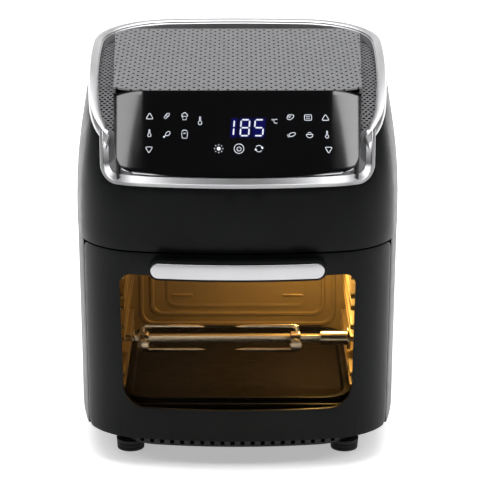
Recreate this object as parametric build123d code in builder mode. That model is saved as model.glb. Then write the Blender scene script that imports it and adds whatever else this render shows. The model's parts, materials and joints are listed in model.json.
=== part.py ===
from build123d import *
import math
import os
from collections import namedtuple

os.makedirs("parts", exist_ok=True)

# Rotisserie oven. Millimetres, +Z up, front towards -Y, origin on the table below the middle.

# ---------------------------------------------------------------- driving dimensions
WALL = 2.6                      # moulded housing wall
SEAM_Z = 216.0                  # parting line between the upper and the lower housing
BODY_BOTTOM = 30.0              # lower edge of the door and the lower housing
BODY_TOP = 378.0                # top of the housing loft, above the crest
CREST_CENTRE = (213.5, -534.5)  # side-view centre (Y, Z) of the arc that cuts the housing top
CREST_RADIUS = 912.5
RING_HEIGHT = 6.0
RING_WIDTH = 9.5

NOTCH_BOTTOM = 277.7            # front notch in the upper housing
NOTCH_CORNER = 15.0
NOTCH_HALF_LOW = 126.9          # half width at the notch bottom
NOTCH_HALF_HIGH = 128.6         # half width at NOTCH_FLARE_Z
NOTCH_FLARE_Z = 316.0
NOTCH_BACK = -104.0             # the notch is cut forward of this Y
LIP = 3.5                       # silver lip that edges the notch

DOOR_TOP = 214.4
DOOR_BACK = -99.5               # rear edge of the door's side returns
HOUSING_FRONT = -98.3           # front edge of the lower housing
DOOR_WALL = 3.5
HINGE_Y = -128.0
HINGE_Z = 38.0
HINGE_PIN_R = 2.5
BRACKET_X = 103.0               # middle of each hinge bracket
BRACKET_T = 4.0

WINDOW_BOTTOM = 61.0
WINDOW_TOP = 193.0
WINDOW_HALF_TOP = 110.4
WINDOW_HALF_BOTTOM = 107.6
WINDOW_CORNER_LOW = 22.0
WINDOW_CORNER_HIGH = 11.0

HANDLE_Z = 203.7
HANDLE_LENGTH = 165.0
HANDLE_HEIGHT = 19.0
HANDLE_GAP = 8.5                # clear space between the door and the handle
HANDLE_DEPTH = 9.5
HANDLE_FACE = (160.0, 14.3, 2.0)  # length, height, thickness of the bright strip
POST_X = 68.0
HANDLE_SCREW_R = 2.0

CAVITY_HALF = 117.0             # outer half width of the steel liner
CAVITY_BOTTOM = 46.0
CAVITY_TOP = 206.0
CAVITY_FRONT = -109.0
CAVITY_BACK = 111.0
SHEET = 1.2                     # steel sheet

SPIT_Y = -39.0
SPIT_Z = 95.5
SPIT_SIDE = 7.0                 # square spit rod
JOURNAL_R = 3.0
RUN_GAP = 0.05                  # radial running clearance of a shaft in its bore

FAN_Y = 5.0                     # fan axis, X = 0
SHAFT_R = 3.0

BASE_BOTTOM = 11.0
FOOT_X = 104.0
FOOT_FRONT = -88.0
FOOT_BACK = 118.0

PANEL_BOTTOM = (-139.0, 285.6)  # lower edge (Y, Z) of the tilted control panel
PANEL_TOP = (-99.0, 358.7)
POD_BACK = (121.0, 373.8)       # rear edge (Y, Z) of the pod top
POD_FLOOR = 283.0
POD_HALF_FRONT = 111.0
POD_HALF_TOP = 115.5
POD_HALF_BACK = 125.0
POD_CORNER = 24.0               # rounding of the pod's rear corners
PANEL_T = 5.0

PAST = 500.0                    # size of a cutting block that reaches past the body

# ---------------------------------------------------------------- plan outlines
Section = namedtuple(
    "Section", "z half front back widest front_r back_r side_r front_corner back_corner"
)

UPPER = [
    Section(SEAM_Z, 157.5, -151.0, 171.0, 11.0, 480.0, 900.0, 560.0, 66.0, 50.0),
    Section(270.0, 156.0, -149.5, 170.0, 11.0, 480.0, 900.0, 560.0, 70.0, 50.0),
    Section(305.0, 152.5, -146.0, 168.0, 23.0, 480.0, 900.0, 560.0, 84.0, 58.0),
    Section(335.0, 148.3, -142.0, 166.0, 46.0, 480.0, 900.0, 620.0, 100.0, 70.0),
    Section(BODY_TOP, 143.5, -135.0, 163.5, 71.0, 480.0, 900.0, 800.0, 112.0, 82.0),
]
LOWER = [
    Section(BODY_BOTTOM, 154.8, -149.5, 168.5, 11.0, 480.0, 900.0, 560.0, 63.0, 47.0),
    Section(SEAM_Z, 157.0, -150.8, 170.6, 11.0, 480.0, 900.0, 560.0, 66.0, 50.0),
]
BASE = [
    Section(BASE_BOTTOM, 122.0, -115.4, 150.0, 11.0, 480.0, 900.0, 560.0, 46.0, 40.0),
    Section(BODY_BOTTOM, 151.8, -114.6, 165.4, 20.0, 480.0, 900.0, 560.0, 66.0, 45.0),
]


def corner_centre(main, main_r, side, side_r, corner_r):
    """Centre of the corner arc that touches the main arc and the side arc from inside."""
    reach_main = main_r - corner_r
    reach_side = side_r - corner_r
    dx = main[0] - side[0]
    dy = main[1] - side[1]
    gap = math.hypot(dx, dy)
    along = (reach_side**2 - reach_main**2 + gap**2) / (2 * gap)
    across = math.sqrt(reach_side**2 - along**2)
    turn = 1 if main[1] > side[1] else -1
    return (
        side[0] + (dx * along + turn * dy * across) / gap,
        side[1] + (dy * along - turn * dx * across) / gap,
    )


def angle_from(centre, point):
    return math.degrees(math.atan2(point[1] - centre[1], point[0] - centre[0]))


def plan(section, inset=0.0):
    """Closed bowed outline of tangent arcs, moved inward by inset."""
    front = (0.0, section.front + section.front_r)
    back = (0.0, section.back - section.back_r)
    side = (section.half - section.side_r, section.widest)
    fc = corner_centre(front, section.front_r, side, section.side_r, section.front_corner)
    bc = corner_centre(back, section.back_r, side, section.side_r, section.back_corner)
    a_front = angle_from(front, fc)
    a_side_front = angle_from(side, fc)
    a_side_back = angle_from(side, bc)
    a_back = angle_from(back, bc)
    with BuildLine() as outline:
        CenterArc(front, section.front_r - inset, -90, a_front + 90)
        CenterArc(fc, section.front_corner - inset, a_front, a_side_front - a_front)
        CenterArc(side, section.side_r - inset, a_side_front, a_side_back - a_side_front)
        CenterArc(bc, section.back_corner - inset, a_side_back, a_back - a_side_back)
        CenterArc(back, section.back_r - inset, a_back, 90 - a_back)
        mirror(about=Plane.YZ)
    make_face(outline.edges())


def body_solid(sections, inset=0.0, ruled=False):
    """Solid through the sections, every outline moved inward by inset."""
    with BuildPart() as solid:
        for section in sections:
            with BuildSketch(Plane.XY.offset(section.z)):
                plan(section, inset)
        loft(ruled=ruled)
    return solid.part


def above_crest(drop):
    """Everything higher than the crest arc lowered by drop."""
    top = BODY_TOP + 40
    reach = 190.0
    centre = (CREST_CENTRE[0], CREST_CENTRE[1] - drop)
    rise = math.sqrt(CREST_RADIUS**2 - (reach - centre[0]) ** 2)
    fall = math.sqrt(CREST_RADIUS**2 - (-reach - centre[0]) ** 2)
    back_low = (reach, centre[1] + rise)
    front_low = (-reach, centre[1] + fall)
    middle = (0.0, centre[1] + math.sqrt(CREST_RADIUS**2 - centre[0] ** 2))
    with BuildPart() as region:
        with BuildSketch(Plane.YZ):
            with BuildLine():
                ThreePointArc(back_low, middle, front_low)
                Polyline(front_low, (-reach, top), (reach, top), back_low)
            make_face()
        extrude(amount=200, both=True)
    return region.part


def notch_sketch(grow):
    """U outline of the front notch, moved inward by a negative grow."""
    low = NOTCH_BOTTOM - grow
    half_low = NOTCH_HALF_LOW + grow
    flare = (NOTCH_HALF_HIGH - NOTCH_HALF_LOW) / (NOTCH_FLARE_Z - NOTCH_BOTTOM)
    top = BODY_TOP + 42
    half_top = NOTCH_HALF_HIGH + grow + flare * (top - NOTCH_FLARE_Z)
    with BuildLine() as outline:
        Polyline((-half_top, top), (-half_low, low), (half_low, low), (half_top, top), close=True)
    make_face(outline.edges())
    fillet(vertices().group_by(Axis.Y)[0], NOTCH_CORNER + grow)


def save(builder, name):
    builder.part.label = name
    export_step(builder.part, "parts/" + name + ".step")


upper_outer = body_solid(UPPER)
upper_inner = body_solid(UPPER, WALL)
upper_ring_inner = body_solid(UPPER, RING_WIDTH)
lower_outer = body_solid(LOWER, ruled=True)
lower_inner = body_solid(LOWER, WALL, ruled=True)
crest_cut = above_crest(0.0)
under_ring_cut = above_crest(RING_HEIGHT)

# ---------------------------------------------------------------- upper housing and its trims
with BuildPart() as upper_housing:
    add(upper_outer)
    add(upper_inner, mode=Mode.SUBTRACT)
    add(under_ring_cut, mode=Mode.SUBTRACT)
    with BuildSketch(Plane.XZ.offset(-NOTCH_BACK)):
        notch_sketch(0.0)
    extrude(amount=PAST, mode=Mode.SUBTRACT)
save(upper_housing, "upper_housing")


def pod_plan():
    """Plan of the control pod: narrow at the front, wide at the back."""
    with BuildLine() as outline:
        Polyline(
            (-POD_HALF_BACK, POD_BACK[0]),
            (-POD_HALF_TOP, PANEL_TOP[0]),
            (-POD_HALF_FRONT, PANEL_BOTTOM[0]),
            (POD_HALF_FRONT, PANEL_BOTTOM[0]),
            (POD_HALF_TOP, PANEL_TOP[0]),
            (POD_HALF_BACK, POD_BACK[0]),
            close=True,
        )
    make_face(outline.edges())
    fillet(vertices().group_by(Axis.Y)[-1], POD_CORNER)


PANEL_RUN = math.dist(PANEL_BOTTOM, PANEL_TOP)
PANEL_NORMAL = (
    0.0,
    -(PANEL_TOP[1] - PANEL_BOTTOM[1]) / PANEL_RUN,
    (PANEL_TOP[0] - PANEL_BOTTOM[0]) / PANEL_RUN,
)
PANEL_MIDDLE = (
    0.0,
    (PANEL_BOTTOM[0] + PANEL_TOP[0]) / 2,
    (PANEL_BOTTOM[1] + PANEL_TOP[1]) / 2,
)
panel_plane = Plane(origin=PANEL_MIDDLE, x_dir=(1, 0, 0), z_dir=PANEL_NORMAL)

with BuildPart() as pod_block:
    with BuildSketch(Plane.YZ):
        with BuildLine():
            Polyline(
                PANEL_BOTTOM,
                PANEL_TOP,
                POD_BACK,
                (POD_BACK[0], POD_FLOOR),
                (PANEL_BOTTOM[0], POD_FLOOR),
                close=True,
            )
        make_face()
    extrude(amount=PAST, both=True)
    with BuildSketch(Plane.XY.offset(POD_FLOOR - 1)):
        pod_plan()
    extrude(amount=PAST, mode=Mode.INTERSECT)

GRILLE_T = 2.0
POD_WALL = 2.5
POD_SLOT = (150.0, 8.0)         # air slots in the pod floor
POD_SLOT_PITCH = 24.0
PANEL_CORNER = 13.0
PANEL_EDGE = 3.0                # rounding of the panel's sides
pod_slope = math.atan2(POD_BACK[1] - PANEL_TOP[1], POD_BACK[0] - PANEL_TOP[0])
grille_plane = Plane(
    origin=(0, PANEL_TOP[0], PANEL_TOP[1]),
    x_dir=(1, 0, 0),
    z_dir=(0, -math.sin(pod_slope), math.cos(pod_slope)),
)

with BuildPart() as control_pod:
    add(pod_block.part)
    with BuildSketch(panel_plane.offset(-PANEL_T)):
        Rectangle(PAST, 120)
    extrude(amount=40, mode=Mode.SUBTRACT)
    with BuildSketch(grille_plane.offset(-GRILLE_T)):
        Rectangle(PAST, 2 * PAST)
    extrude(amount=30, mode=Mode.SUBTRACT)
    with BuildSketch(Plane.XY.offset(POD_FLOOR + POD_WALL)):
        pod_plan()
        offset(amount=-POD_WALL, kind=Kind.INTERSECTION)
    extrude(amount=PAST, mode=Mode.SUBTRACT)
    with BuildSketch(Plane.XY.offset(POD_FLOOR - 1)):
        with GridLocations(0, POD_SLOT_PITCH, 1, 6):
            SlotOverall(*POD_SLOT)
    extrude(amount=10, mode=Mode.SUBTRACT)
save(control_pod, "control_pod")

with BuildPart() as control_panel:
    with BuildSketch(panel_plane):
        with BuildLine():
            Polyline(
                (-POD_HALF_FRONT, -PANEL_RUN / 2),
                (POD_HALF_FRONT, -PANEL_RUN / 2),
                (POD_HALF_TOP, PANEL_RUN / 2),
                (-POD_HALF_TOP, PANEL_RUN / 2),
                close=True,
            )
        make_face()
        fillet(vertices().group_by(Axis.Y)[0], PANEL_CORNER)
    extrude(amount=-PANEL_T + 0.1)
    front_face = faces().sort_by(Axis((0, 0, 0), PANEL_NORMAL))[-1]
    fillet(front_face.edges().filter_by(Axis.X, reverse=True), PANEL_EDGE)
save(control_panel, "control_panel")

GRILLE_PITCH = 19.6
with BuildPart() as top_grille:
    add(pod_block.part)
    with BuildSketch(grille_plane.offset(-GRILLE_T)):
        Rectangle(PAST, 2 * PAST)
    extrude(amount=-PAST, mode=Mode.SUBTRACT)
    with BuildSketch(panel_plane.offset(-PANEL_T)):
        Rectangle(PAST, 120)
    extrude(amount=40, mode=Mode.SUBTRACT)
    with BuildSketch(Plane.XY.offset(PANEL_TOP[1] - 15)):
        with Locations((0, 13)):
            with GridLocations(GRILLE_PITCH, GRILLE_PITCH, 11, 10):
                Circle(2.0)
    extrude(amount=60, mode=Mode.SUBTRACT)
save(top_grille, "top_grille")

DECK_DROP = 12.0                # the recessed grille lies this far below the crest
POD_GAP = 0.4
with BuildPart() as pod_clearance:
    with BuildSketch(Plane.XY.offset(POD_FLOOR - POD_GAP)):
        pod_plan()
        offset(amount=POD_GAP, kind=Kind.INTERSECTION)
    extrude(amount=PAST)

RING_FRONT = -112.0             # the ring stops behind this Y, at the notch
with BuildPart() as top_trim_ring:
    add(upper_outer)
    add(upper_ring_inner, mode=Mode.SUBTRACT)
    add(crest_cut, mode=Mode.SUBTRACT)
    add(under_ring_cut, mode=Mode.INTERSECT)
    add(pod_clearance.part, mode=Mode.SUBTRACT)
    with BuildSketch(Plane.XZ.offset(-RING_FRONT)):
        Rectangle(PAST, 2 * PAST)
    extrude(amount=PAST, mode=Mode.SUBTRACT)
save(top_trim_ring, "top_trim_ring")

with BuildPart() as side_grille:
    add(upper_inner)
    add(above_crest(DECK_DROP), mode=Mode.SUBTRACT)
    add(above_crest(DECK_DROP + GRILLE_T), mode=Mode.INTERSECT)
    add(pod_clearance.part, mode=Mode.SUBTRACT)
    with BuildSketch(Plane.XZ.offset(-NOTCH_BACK)):
        Rectangle(PAST, 2 * PAST)
    extrude(amount=PAST, mode=Mode.SUBTRACT)
save(side_grille, "side_grille")

TRIM_PROUD = 0.8
TRIM_DEPTH = 12.0
TRAY_DEPTH = 4.0
TRIM_BACK = -104.5
trim_outer = body_solid(UPPER, -TRIM_PROUD)
trim_inner = body_solid(UPPER, TRIM_DEPTH)
tray_outer = body_solid(UPPER, TRAY_DEPTH)

with BuildPart() as front_trim_lip:
    with BuildSketch(Plane.XZ.offset(-TRIM_BACK)):
        notch_sketch(0.0)
        with BuildSketch(Plane.XZ.offset(-TRIM_BACK), mode=Mode.PRIVATE) as lip_hole:
            notch_sketch(-LIP)
        add(lip_hole.sketch, mode=Mode.SUBTRACT)
    extrude(amount=PAST)
    add(trim_outer, mode=Mode.INTERSECT)
    add(trim_inner, mode=Mode.SUBTRACT)

with BuildPart() as front_trim_tray:
    with BuildSketch(Plane.XZ.offset(-TRIM_BACK)):
        notch_sketch(-LIP)
    extrude(amount=PAST)
    add(tray_outer, mode=Mode.INTERSECT)
    add(trim_inner, mode=Mode.SUBTRACT)

with BuildPart() as front_trim:
    add(front_trim_lip.part)
    add(front_trim_tray.part)
    add(pod_clearance.part, mode=Mode.SUBTRACT)
    add(above_crest(RING_HEIGHT + 0.3), mode=Mode.SUBTRACT)
    with BuildSketch(Plane.XZ.offset(-TRIM_BACK)):
        with Locations((0, PANEL_BOTTOM[1] - POD_GAP)):
            Rectangle(2 * (POD_HALF_FRONT + POD_GAP), PAST, align=(Align.CENTER, Align.MIN))
    extrude(amount=PAST, mode=Mode.SUBTRACT)
save(front_trim, "front_trim")

# ---------------------------------------------------------------- control electronics
BOARD_T = 1.6                   # printed circuit board
BOARD_DROP = 6.0                # the display board lies this far behind the panel
DISPLAY_T = 4.0
BOARD_Y = 132.0
with BuildPart() as display_board:
    with BuildSketch(panel_plane.offset(-PANEL_T - BOARD_DROP)):
        RectangleRounded(196, 62, 3)
    extrude(amount=BOARD_T)
save(display_board, "display_board")

with BuildPart() as display_module:
    with BuildSketch(panel_plane.offset(-PANEL_T - BOARD_DROP + BOARD_T)):
        with Locations((0, 6)):
            RectangleRounded(58, 24, 1.5)
    extrude(amount=DISPLAY_T)
save(display_module, "display_module")

with BuildPart() as power_board:
    with BuildSketch(Plane.XZ.offset(-BOARD_Y)):
        with Locations((-30, 262)):
            Rectangle(110, 36)
    extrude(amount=-BOARD_T)
    with BuildSketch(Plane.XZ.offset(-BOARD_Y)):
        with Locations((-62, 262)):
            RectangleRounded(26, 24, 2)
        with Locations((-28, 268), (-8, 268)):
            Circle(5)
        with Locations((-18, 251)):
            Rectangle(34, 8)
    extrude(amount=14)
save(power_board, "power_board")

# ---------------------------------------------------------------- lower housing and base
REAR_OPENING = (168.0, 128.0)
REAR_MIDDLE_Z = 125.0
GLAND_X = -100.0
GLAND_Z = 44.0
GLAND_R = 6.0
FLANGE_Y = -96.5                # inner front flange that carries the cavity frame
FLANGE_T = 3.0
FRAME_HALF = 130.5              # half width of the front frame
FRAME_TOP = 214.0
WING_X = 132.5                  # inner face of the door's side returns

with BuildPart() as front_flange:
    with BuildSketch(Plane.XZ.offset(-FLANGE_Y)):
        with Locations((0, (BODY_BOTTOM + SEAM_Z) / 2)):
            Rectangle(PAST, SEAM_Z - BODY_BOTTOM)
            Rectangle(2 * FRAME_HALF, PAST, mode=Mode.SUBTRACT)
    extrude(amount=-FLANGE_T)
    add(lower_outer, mode=Mode.INTERSECT)

with BuildPart() as lower_housing:
    add(lower_outer)
    add(lower_inner, mode=Mode.SUBTRACT)
    with BuildSketch(Plane.XZ.offset(-HOUSING_FRONT)):
        Rectangle(PAST, 2 * PAST)
    extrude(amount=PAST, mode=Mode.SUBTRACT)
    with BuildSketch(Plane.XZ.offset(-150)):
        with Locations((0, REAR_MIDDLE_Z)):
            RectangleRounded(REAR_OPENING[0], REAR_OPENING[1], 8)
        with Locations((GLAND_X, GLAND_Z)):
            Circle(GLAND_R)
    extrude(amount=-40, mode=Mode.SUBTRACT)
    add(front_flange.part)
save(lower_housing, "lower_housing")

base_outer = body_solid(BASE, ruled=True)
base_inner = body_solid(BASE, WALL, ruled=True)
VENT_COUNT = 20
VENT_PITCH = 9.7
VENT_Z = 15.9
VENT = (4.0, 6.2)
BASE_FLOOR_T = 1.6
FOOT_R = 14.0
FOOT_SCREW_R = 2.0
FEET = [(FOOT_X, FOOT_FRONT), (-FOOT_X, FOOT_FRONT), (FOOT_X, FOOT_BACK), (-FOOT_X, FOOT_BACK)]

with BuildPart() as base_pan:
    add(base_outer)
    add(base_inner, mode=Mode.SUBTRACT)
    with BuildSketch(Plane.XY.offset(BASE_BOTTOM)):
        plan(BASE[0], WALL / 2)
    extrude(amount=BASE_FLOOR_T)
    with BuildSketch(Plane.XZ.offset(95)):
        with Locations((0, VENT_Z)):
            with GridLocations(VENT_PITCH, 0, VENT_COUNT, 1):
                RectangleRounded(*VENT, 1.0)
    extrude(amount=40, mode=Mode.SUBTRACT)
    with BuildSketch(Plane.XY.offset(BASE_BOTTOM - 1)):
        with Locations((0, 20)):
            with GridLocations(0, 16, 1, 8):
                SlotOverall(120, 6)
        with Locations(*FEET):
            Circle(FOOT_SCREW_R)
    extrude(amount=4, mode=Mode.SUBTRACT)
save(base_pan, "base_pan")

with BuildPart() as rubber_feet:
    for foot in FEET:
        with BuildSketch(Plane.XY.offset(BASE_BOTTOM)):
            with Locations(foot):
                Circle(FOOT_R)
        extrude(amount=-BASE_BOTTOM, taper=4)
    fillet(edges().group_by(Axis.Z)[0], 1.5)
    with BuildSketch(Plane.XY):
        with Locations(*FEET):
            Circle(5.5)
    extrude(amount=4, mode=Mode.SUBTRACT)
    with BuildSketch(Plane.XY):
        with Locations(*FEET):
            Circle(FOOT_SCREW_R)
    extrude(amount=BASE_BOTTOM, mode=Mode.SUBTRACT)
save(rubber_feet, "rubber_feet")

with BuildPart() as feet_screws:
    with BuildSketch(Plane.XY.offset(2.0)):
        with Locations(*FEET):
            Circle(4.5)
    extrude(amount=2)
    with BuildSketch(Plane.XY.offset(4.0)):
        with Locations(*FEET):
            Circle(FOOT_SCREW_R)
    extrude(amount=14)
    with BuildSketch(Plane.XY.offset(2.0)):
        with Locations(*FEET):
            Rectangle(5.0, 1.0)
            Rectangle(1.0, 5.0)
    extrude(amount=1, mode=Mode.SUBTRACT)
save(feet_screws, "feet_screws")

# ---------------------------------------------------------------- rear cover and cord gland
REAR_Y = 164.0
REAR_T = 3.0
REAR_SCREW_X = REAR_OPENING[0] / 2 - 7.0
REAR_SCREW_RISE = REAR_OPENING[1] / 2 - 7.0
REAR_SCREW_R = 1.6
LOUVRE = (52.0, 4.0)
LOUVRE_GAP_X = 64.0
LOUVRE_PITCH = 9.0
REAR_SCREWS = [
    (across * REAR_SCREW_X, REAR_MIDDLE_Z + up * REAR_SCREW_RISE)
    for across in (-1, 1)
    for up in (-1, 1)
]
with BuildPart() as rear_cover:
    with BuildSketch(Plane.XZ.offset(-REAR_Y)):
        with Locations((0, REAR_MIDDLE_Z)):
            RectangleRounded(REAR_OPENING[0] - 0.4, REAR_OPENING[1] - 0.4, 7.8)
    extrude(amount=-REAR_T)
    with BuildSketch(Plane.XZ.offset(-REAR_Y)):
        with Locations((0, REAR_MIDDLE_Z + 8)):
            with GridLocations(LOUVRE_GAP_X, LOUVRE_PITCH, 2, 9):
                SlotOverall(*LOUVRE)
        with Locations(*REAR_SCREWS):
            Circle(REAR_SCREW_R)
    extrude(amount=-REAR_T, mode=Mode.SUBTRACT)
save(rear_cover, "rear_cover")

with BuildPart() as rear_cover_screws:
    with BuildSketch(Plane.XZ.offset(-REAR_Y - REAR_T)):
        with Locations(*REAR_SCREWS):
            Circle(2 * REAR_SCREW_R)
    extrude(amount=-1.6)
    with BuildSketch(Plane.XZ.offset(-REAR_Y - REAR_T)):
        with Locations(*REAR_SCREWS):
            Circle(REAR_SCREW_R)
    extrude(amount=12)
save(rear_cover_screws, "rear_cover_screws")

GLAND_Y = 155.0
GLAND_LENGTH = 14.0
GLAND_FLANGE = 2.5
CORD_R = 3.6
with BuildPart() as cord_gland:
    with BuildSketch(Plane.XZ.offset(-GLAND_Y)):
        with Locations((GLAND_X, GLAND_Z)):
            Circle(GLAND_R)
    extrude(amount=-GLAND_LENGTH)
    with BuildSketch(Plane.XZ.offset(-GLAND_Y)):
        with Locations((GLAND_X, GLAND_Z)):
            Circle(GLAND_R + GLAND_FLANGE)
    extrude(amount=-GLAND_FLANGE)
    with BuildSketch(Plane.XZ.offset(-GLAND_Y)):
        with Locations((GLAND_X, GLAND_Z)):
            Circle(CORD_R)
    extrude(amount=-GLAND_LENGTH, mode=Mode.SUBTRACT)
save(cord_gland, "cord_gland")

# ---------------------------------------------------------------- cavity
MOUTH_HALF = 114.5
MOUTH_BOTTOM = 50.0
MOUTH_TOP = 202.0
MOUTH_CORNER = 14.0
FRAME_FRONT = -111.0
FRAME_T = 2.0
LAMP_Y = 62.0
LAMP_Z = 168.0
LAMP_R = 14.0
SOCKET_HOLE_R = 9.0
BUSH_R = 7.0
GUARD_R = 84.0
RIB_HEIGHTS = [66.0, 78.0, 114.0, 126.0, 145.0, 157.0, 176.0, 188.0]
RIB_DEPTH = 7.5
RIB_WIDTH = 5.0
PROBE_X = -80.0
PROBE_Z = 186.0
PROBE_R = 2.5
cavity_mid_z = (CAVITY_BOTTOM + CAVITY_TOP) / 2
cavity_mid_y = (CAVITY_FRONT + CAVITY_BACK) / 2
cavity_length = CAVITY_BACK - CAVITY_FRONT
INNER_HALF = CAVITY_HALF - SHEET

with BuildPart() as cavity_liner:
    with BuildSketch(Plane.XZ.offset(-CAVITY_FRONT)):
        with Locations((0, cavity_mid_z)):
            RectangleRounded(2 * CAVITY_HALF, CAVITY_TOP - CAVITY_BOTTOM, MOUTH_CORNER)
    extrude(amount=-cavity_length)
    with BuildSketch(Plane.XZ.offset(-CAVITY_FRONT)):
        with Locations((0, cavity_mid_z)):
            RectangleRounded(
                2 * INNER_HALF, CAVITY_TOP - CAVITY_BOTTOM - 2 * SHEET, MOUTH_CORNER - SHEET
            )
    extrude(amount=-cavity_length + SHEET, mode=Mode.SUBTRACT)
    for side in (-1, 1):
        for height in RIB_HEIGHTS:
            with BuildSketch(Plane.YZ.offset(side * (INNER_HALF + 0.2))):
                with Locations((cavity_mid_y, height)):
                    SlotOverall(cavity_length - 24, RIB_WIDTH)
            extrude(amount=-side * (RIB_DEPTH + 0.2))
    with BuildSketch(Plane.XZ.offset(-CAVITY_BACK + SHEET - 0.2)):
        with Locations((0, cavity_mid_z)):
            RectangleRounded(150, 96, 12)
            RectangleRounded(142, 88, 8, mode=Mode.SUBTRACT)
    extrude(amount=1.4)
    with BuildSketch(Plane.YZ.offset(INNER_HALF - RIB_DEPTH - 1)):
        with Locations((SPIT_Y, SPIT_Z)):
            Circle(SOCKET_HOLE_R)
        with Locations((LAMP_Y, LAMP_Z)):
            Circle(LAMP_R)
    extrude(amount=RIB_DEPTH + 8, mode=Mode.SUBTRACT)
    with BuildSketch(Plane.YZ.offset(-CAVITY_HALF - 4)):
        with Locations((SPIT_Y, SPIT_Z)):
            Circle(BUSH_R)
    extrude(amount=10, mode=Mode.SUBTRACT)
    with BuildSketch(Plane.XY.offset(CAVITY_TOP - 4)):
        with Locations((0, FAN_Y)):
            Circle(GUARD_R)
    extrude(amount=10, mode=Mode.SUBTRACT)
    with BuildSketch(Plane.XZ.offset(-CAVITY_BACK + 5)):
        with Locations((PROBE_X, PROBE_Z)):
            Circle(PROBE_R)
    extrude(amount=-10, mode=Mode.SUBTRACT)
save(cavity_liner, "cavity_liner")

with BuildPart() as temperature_probe:
    with BuildSketch(Plane.XZ.offset(-CAVITY_BACK + 30)):
        with Locations((PROBE_X, PROBE_Z)):
            Circle(PROBE_R)
    extrude(amount=-44)
    with BuildSketch(Plane.XZ.offset(-CAVITY_BACK)):
        with Locations((PROBE_X, PROBE_Z)):
            Circle(2 * PROBE_R)
    extrude(amount=-3)
save(temperature_probe, "temperature_probe")

SWITCH_X = 124.4
SWITCH_Z = 196.0
PLUNGER_R = 2.0
PLUNGER_GAP = 0.9               # clear space between the plunger and the closed door
NOTCH_HALF_W = 4.5              # half width of the door notch round a hinge bracket

with BuildPart() as cavity_front_frame:
    with BuildSketch(Plane.XZ.offset(-FRAME_FRONT)):
        with Locations((0, (BODY_BOTTOM + FRAME_TOP) / 2)):
            Rectangle(2 * FRAME_HALF, FRAME_TOP - BODY_BOTTOM)
        with Locations((0, (MOUTH_BOTTOM + MOUTH_TOP) / 2)):
            RectangleRounded(2 * MOUTH_HALF, MOUTH_TOP - MOUTH_BOTTOM, 12, mode=Mode.SUBTRACT)
        with Locations((SWITCH_X, SWITCH_Z)):
            Circle(PLUNGER_R + 0.35, mode=Mode.SUBTRACT)
    extrude(amount=-FRAME_T)
    with BuildSketch(Plane.XZ.offset(-FRAME_FRONT - FRAME_T)):
        with GridLocations(2 * FRAME_HALF - 1.5, 0, 2, 1):
            with Locations((0, (BODY_BOTTOM + FRAME_TOP) / 2)):
                Rectangle(1.5, FRAME_TOP - BODY_BOTTOM)
    extrude(amount=-(FLANGE_Y + FLANGE_T - FRAME_FRONT - FRAME_T))
save(cavity_front_frame, "cavity_front_frame")

TRAY_BOTTOM = CAVITY_BOTTOM + SHEET + 0.3
TRAY_SIDE = 206.0
TRAY_DEEP = 11.0
TRAY_T = 1.2
TRAY_CORNER = 26.0
TRAY_RIM = (221.0, 214.0)
with BuildPart() as drip_tray:
    with BuildSketch(Plane.XY.offset(TRAY_BOTTOM)):
        RectangleRounded(TRAY_SIDE, TRAY_SIDE, TRAY_CORNER)
    extrude(amount=TRAY_DEEP, taper=-10)
    with BuildSketch(Plane.XY.offset(TRAY_BOTTOM + TRAY_T)):
        RectangleRounded(TRAY_SIDE - 2 * TRAY_T, TRAY_SIDE - 2 * TRAY_T, TRAY_CORNER - TRAY_T)
    extrude(amount=TRAY_DEEP, taper=-10, mode=Mode.SUBTRACT)
    with BuildSketch(Plane.XY.offset(TRAY_BOTTOM + TRAY_DEEP - 1)):
        RectangleRounded(*TRAY_RIM, TRAY_CORNER + 4)
        RectangleRounded(TRAY_SIDE + 1, TRAY_SIDE + 1, TRAY_CORNER, mode=Mode.SUBTRACT)
    extrude(amount=1.0)
save(drip_tray, "drip_tray")

# ---------------------------------------------------------------- lamp
with BuildPart() as lamp_holder:
    with BuildSketch(Plane.YZ.offset(CAVITY_HALF)):
        with Locations((LAMP_Y, LAMP_Z)):
            Circle(LAMP_R + 4)
            Circle(LAMP_R - 3, mode=Mode.SUBTRACT)
    extrude(amount=3)
    with BuildSketch(Plane.YZ.offset(CAVITY_HALF + 3)):
        with Locations((LAMP_Y, LAMP_Z)):
            Circle(LAMP_R)
            Circle(LAMP_R - 3, mode=Mode.SUBTRACT)
    extrude(amount=14)
    with BuildSketch(Plane.YZ.offset(CAVITY_HALF + 17)):
        with Locations((LAMP_Y, LAMP_Z)):
            Circle(LAMP_R)
    extrude(amount=3)
save(lamp_holder, "lamp_holder")

with BuildPart() as lamp_glass:
    with BuildSketch(Plane.YZ.offset(CAVITY_HALF)):
        with Locations((LAMP_Y, LAMP_Z)):
            Circle(LAMP_R - 0.2)
    extrude(amount=-8, taper=18)
    fillet(edges().group_by(Axis.X)[0], 3)
    with BuildSketch(Plane.YZ.offset(CAVITY_HALF)):
        with Locations((LAMP_Y, LAMP_Z)):
            Circle(LAMP_R - 2.0)
    extrude(amount=-6.5, taper=18, mode=Mode.SUBTRACT)
save(lamp_glass, "lamp_glass")

# ---------------------------------------------------------------- heater and fans
CHAMBER_R = 96.0
CHAMBER_TOP = 246.0
HEATER_Z = 216.0
WHEEL_BOTTOM = 224.0
COOLING_BOTTOM = 249.0
BRACKET_Z = 262.0
MOTOR_R = 30.0
MOTOR_TOP = 279.0
COIL_R = 70.0
TUBE_R = 3.2
LEAD_X = 12.0
LEAD_Y = FAN_Y + COIL_R - 1.0
fan_centre = (0, FAN_Y)

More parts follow.
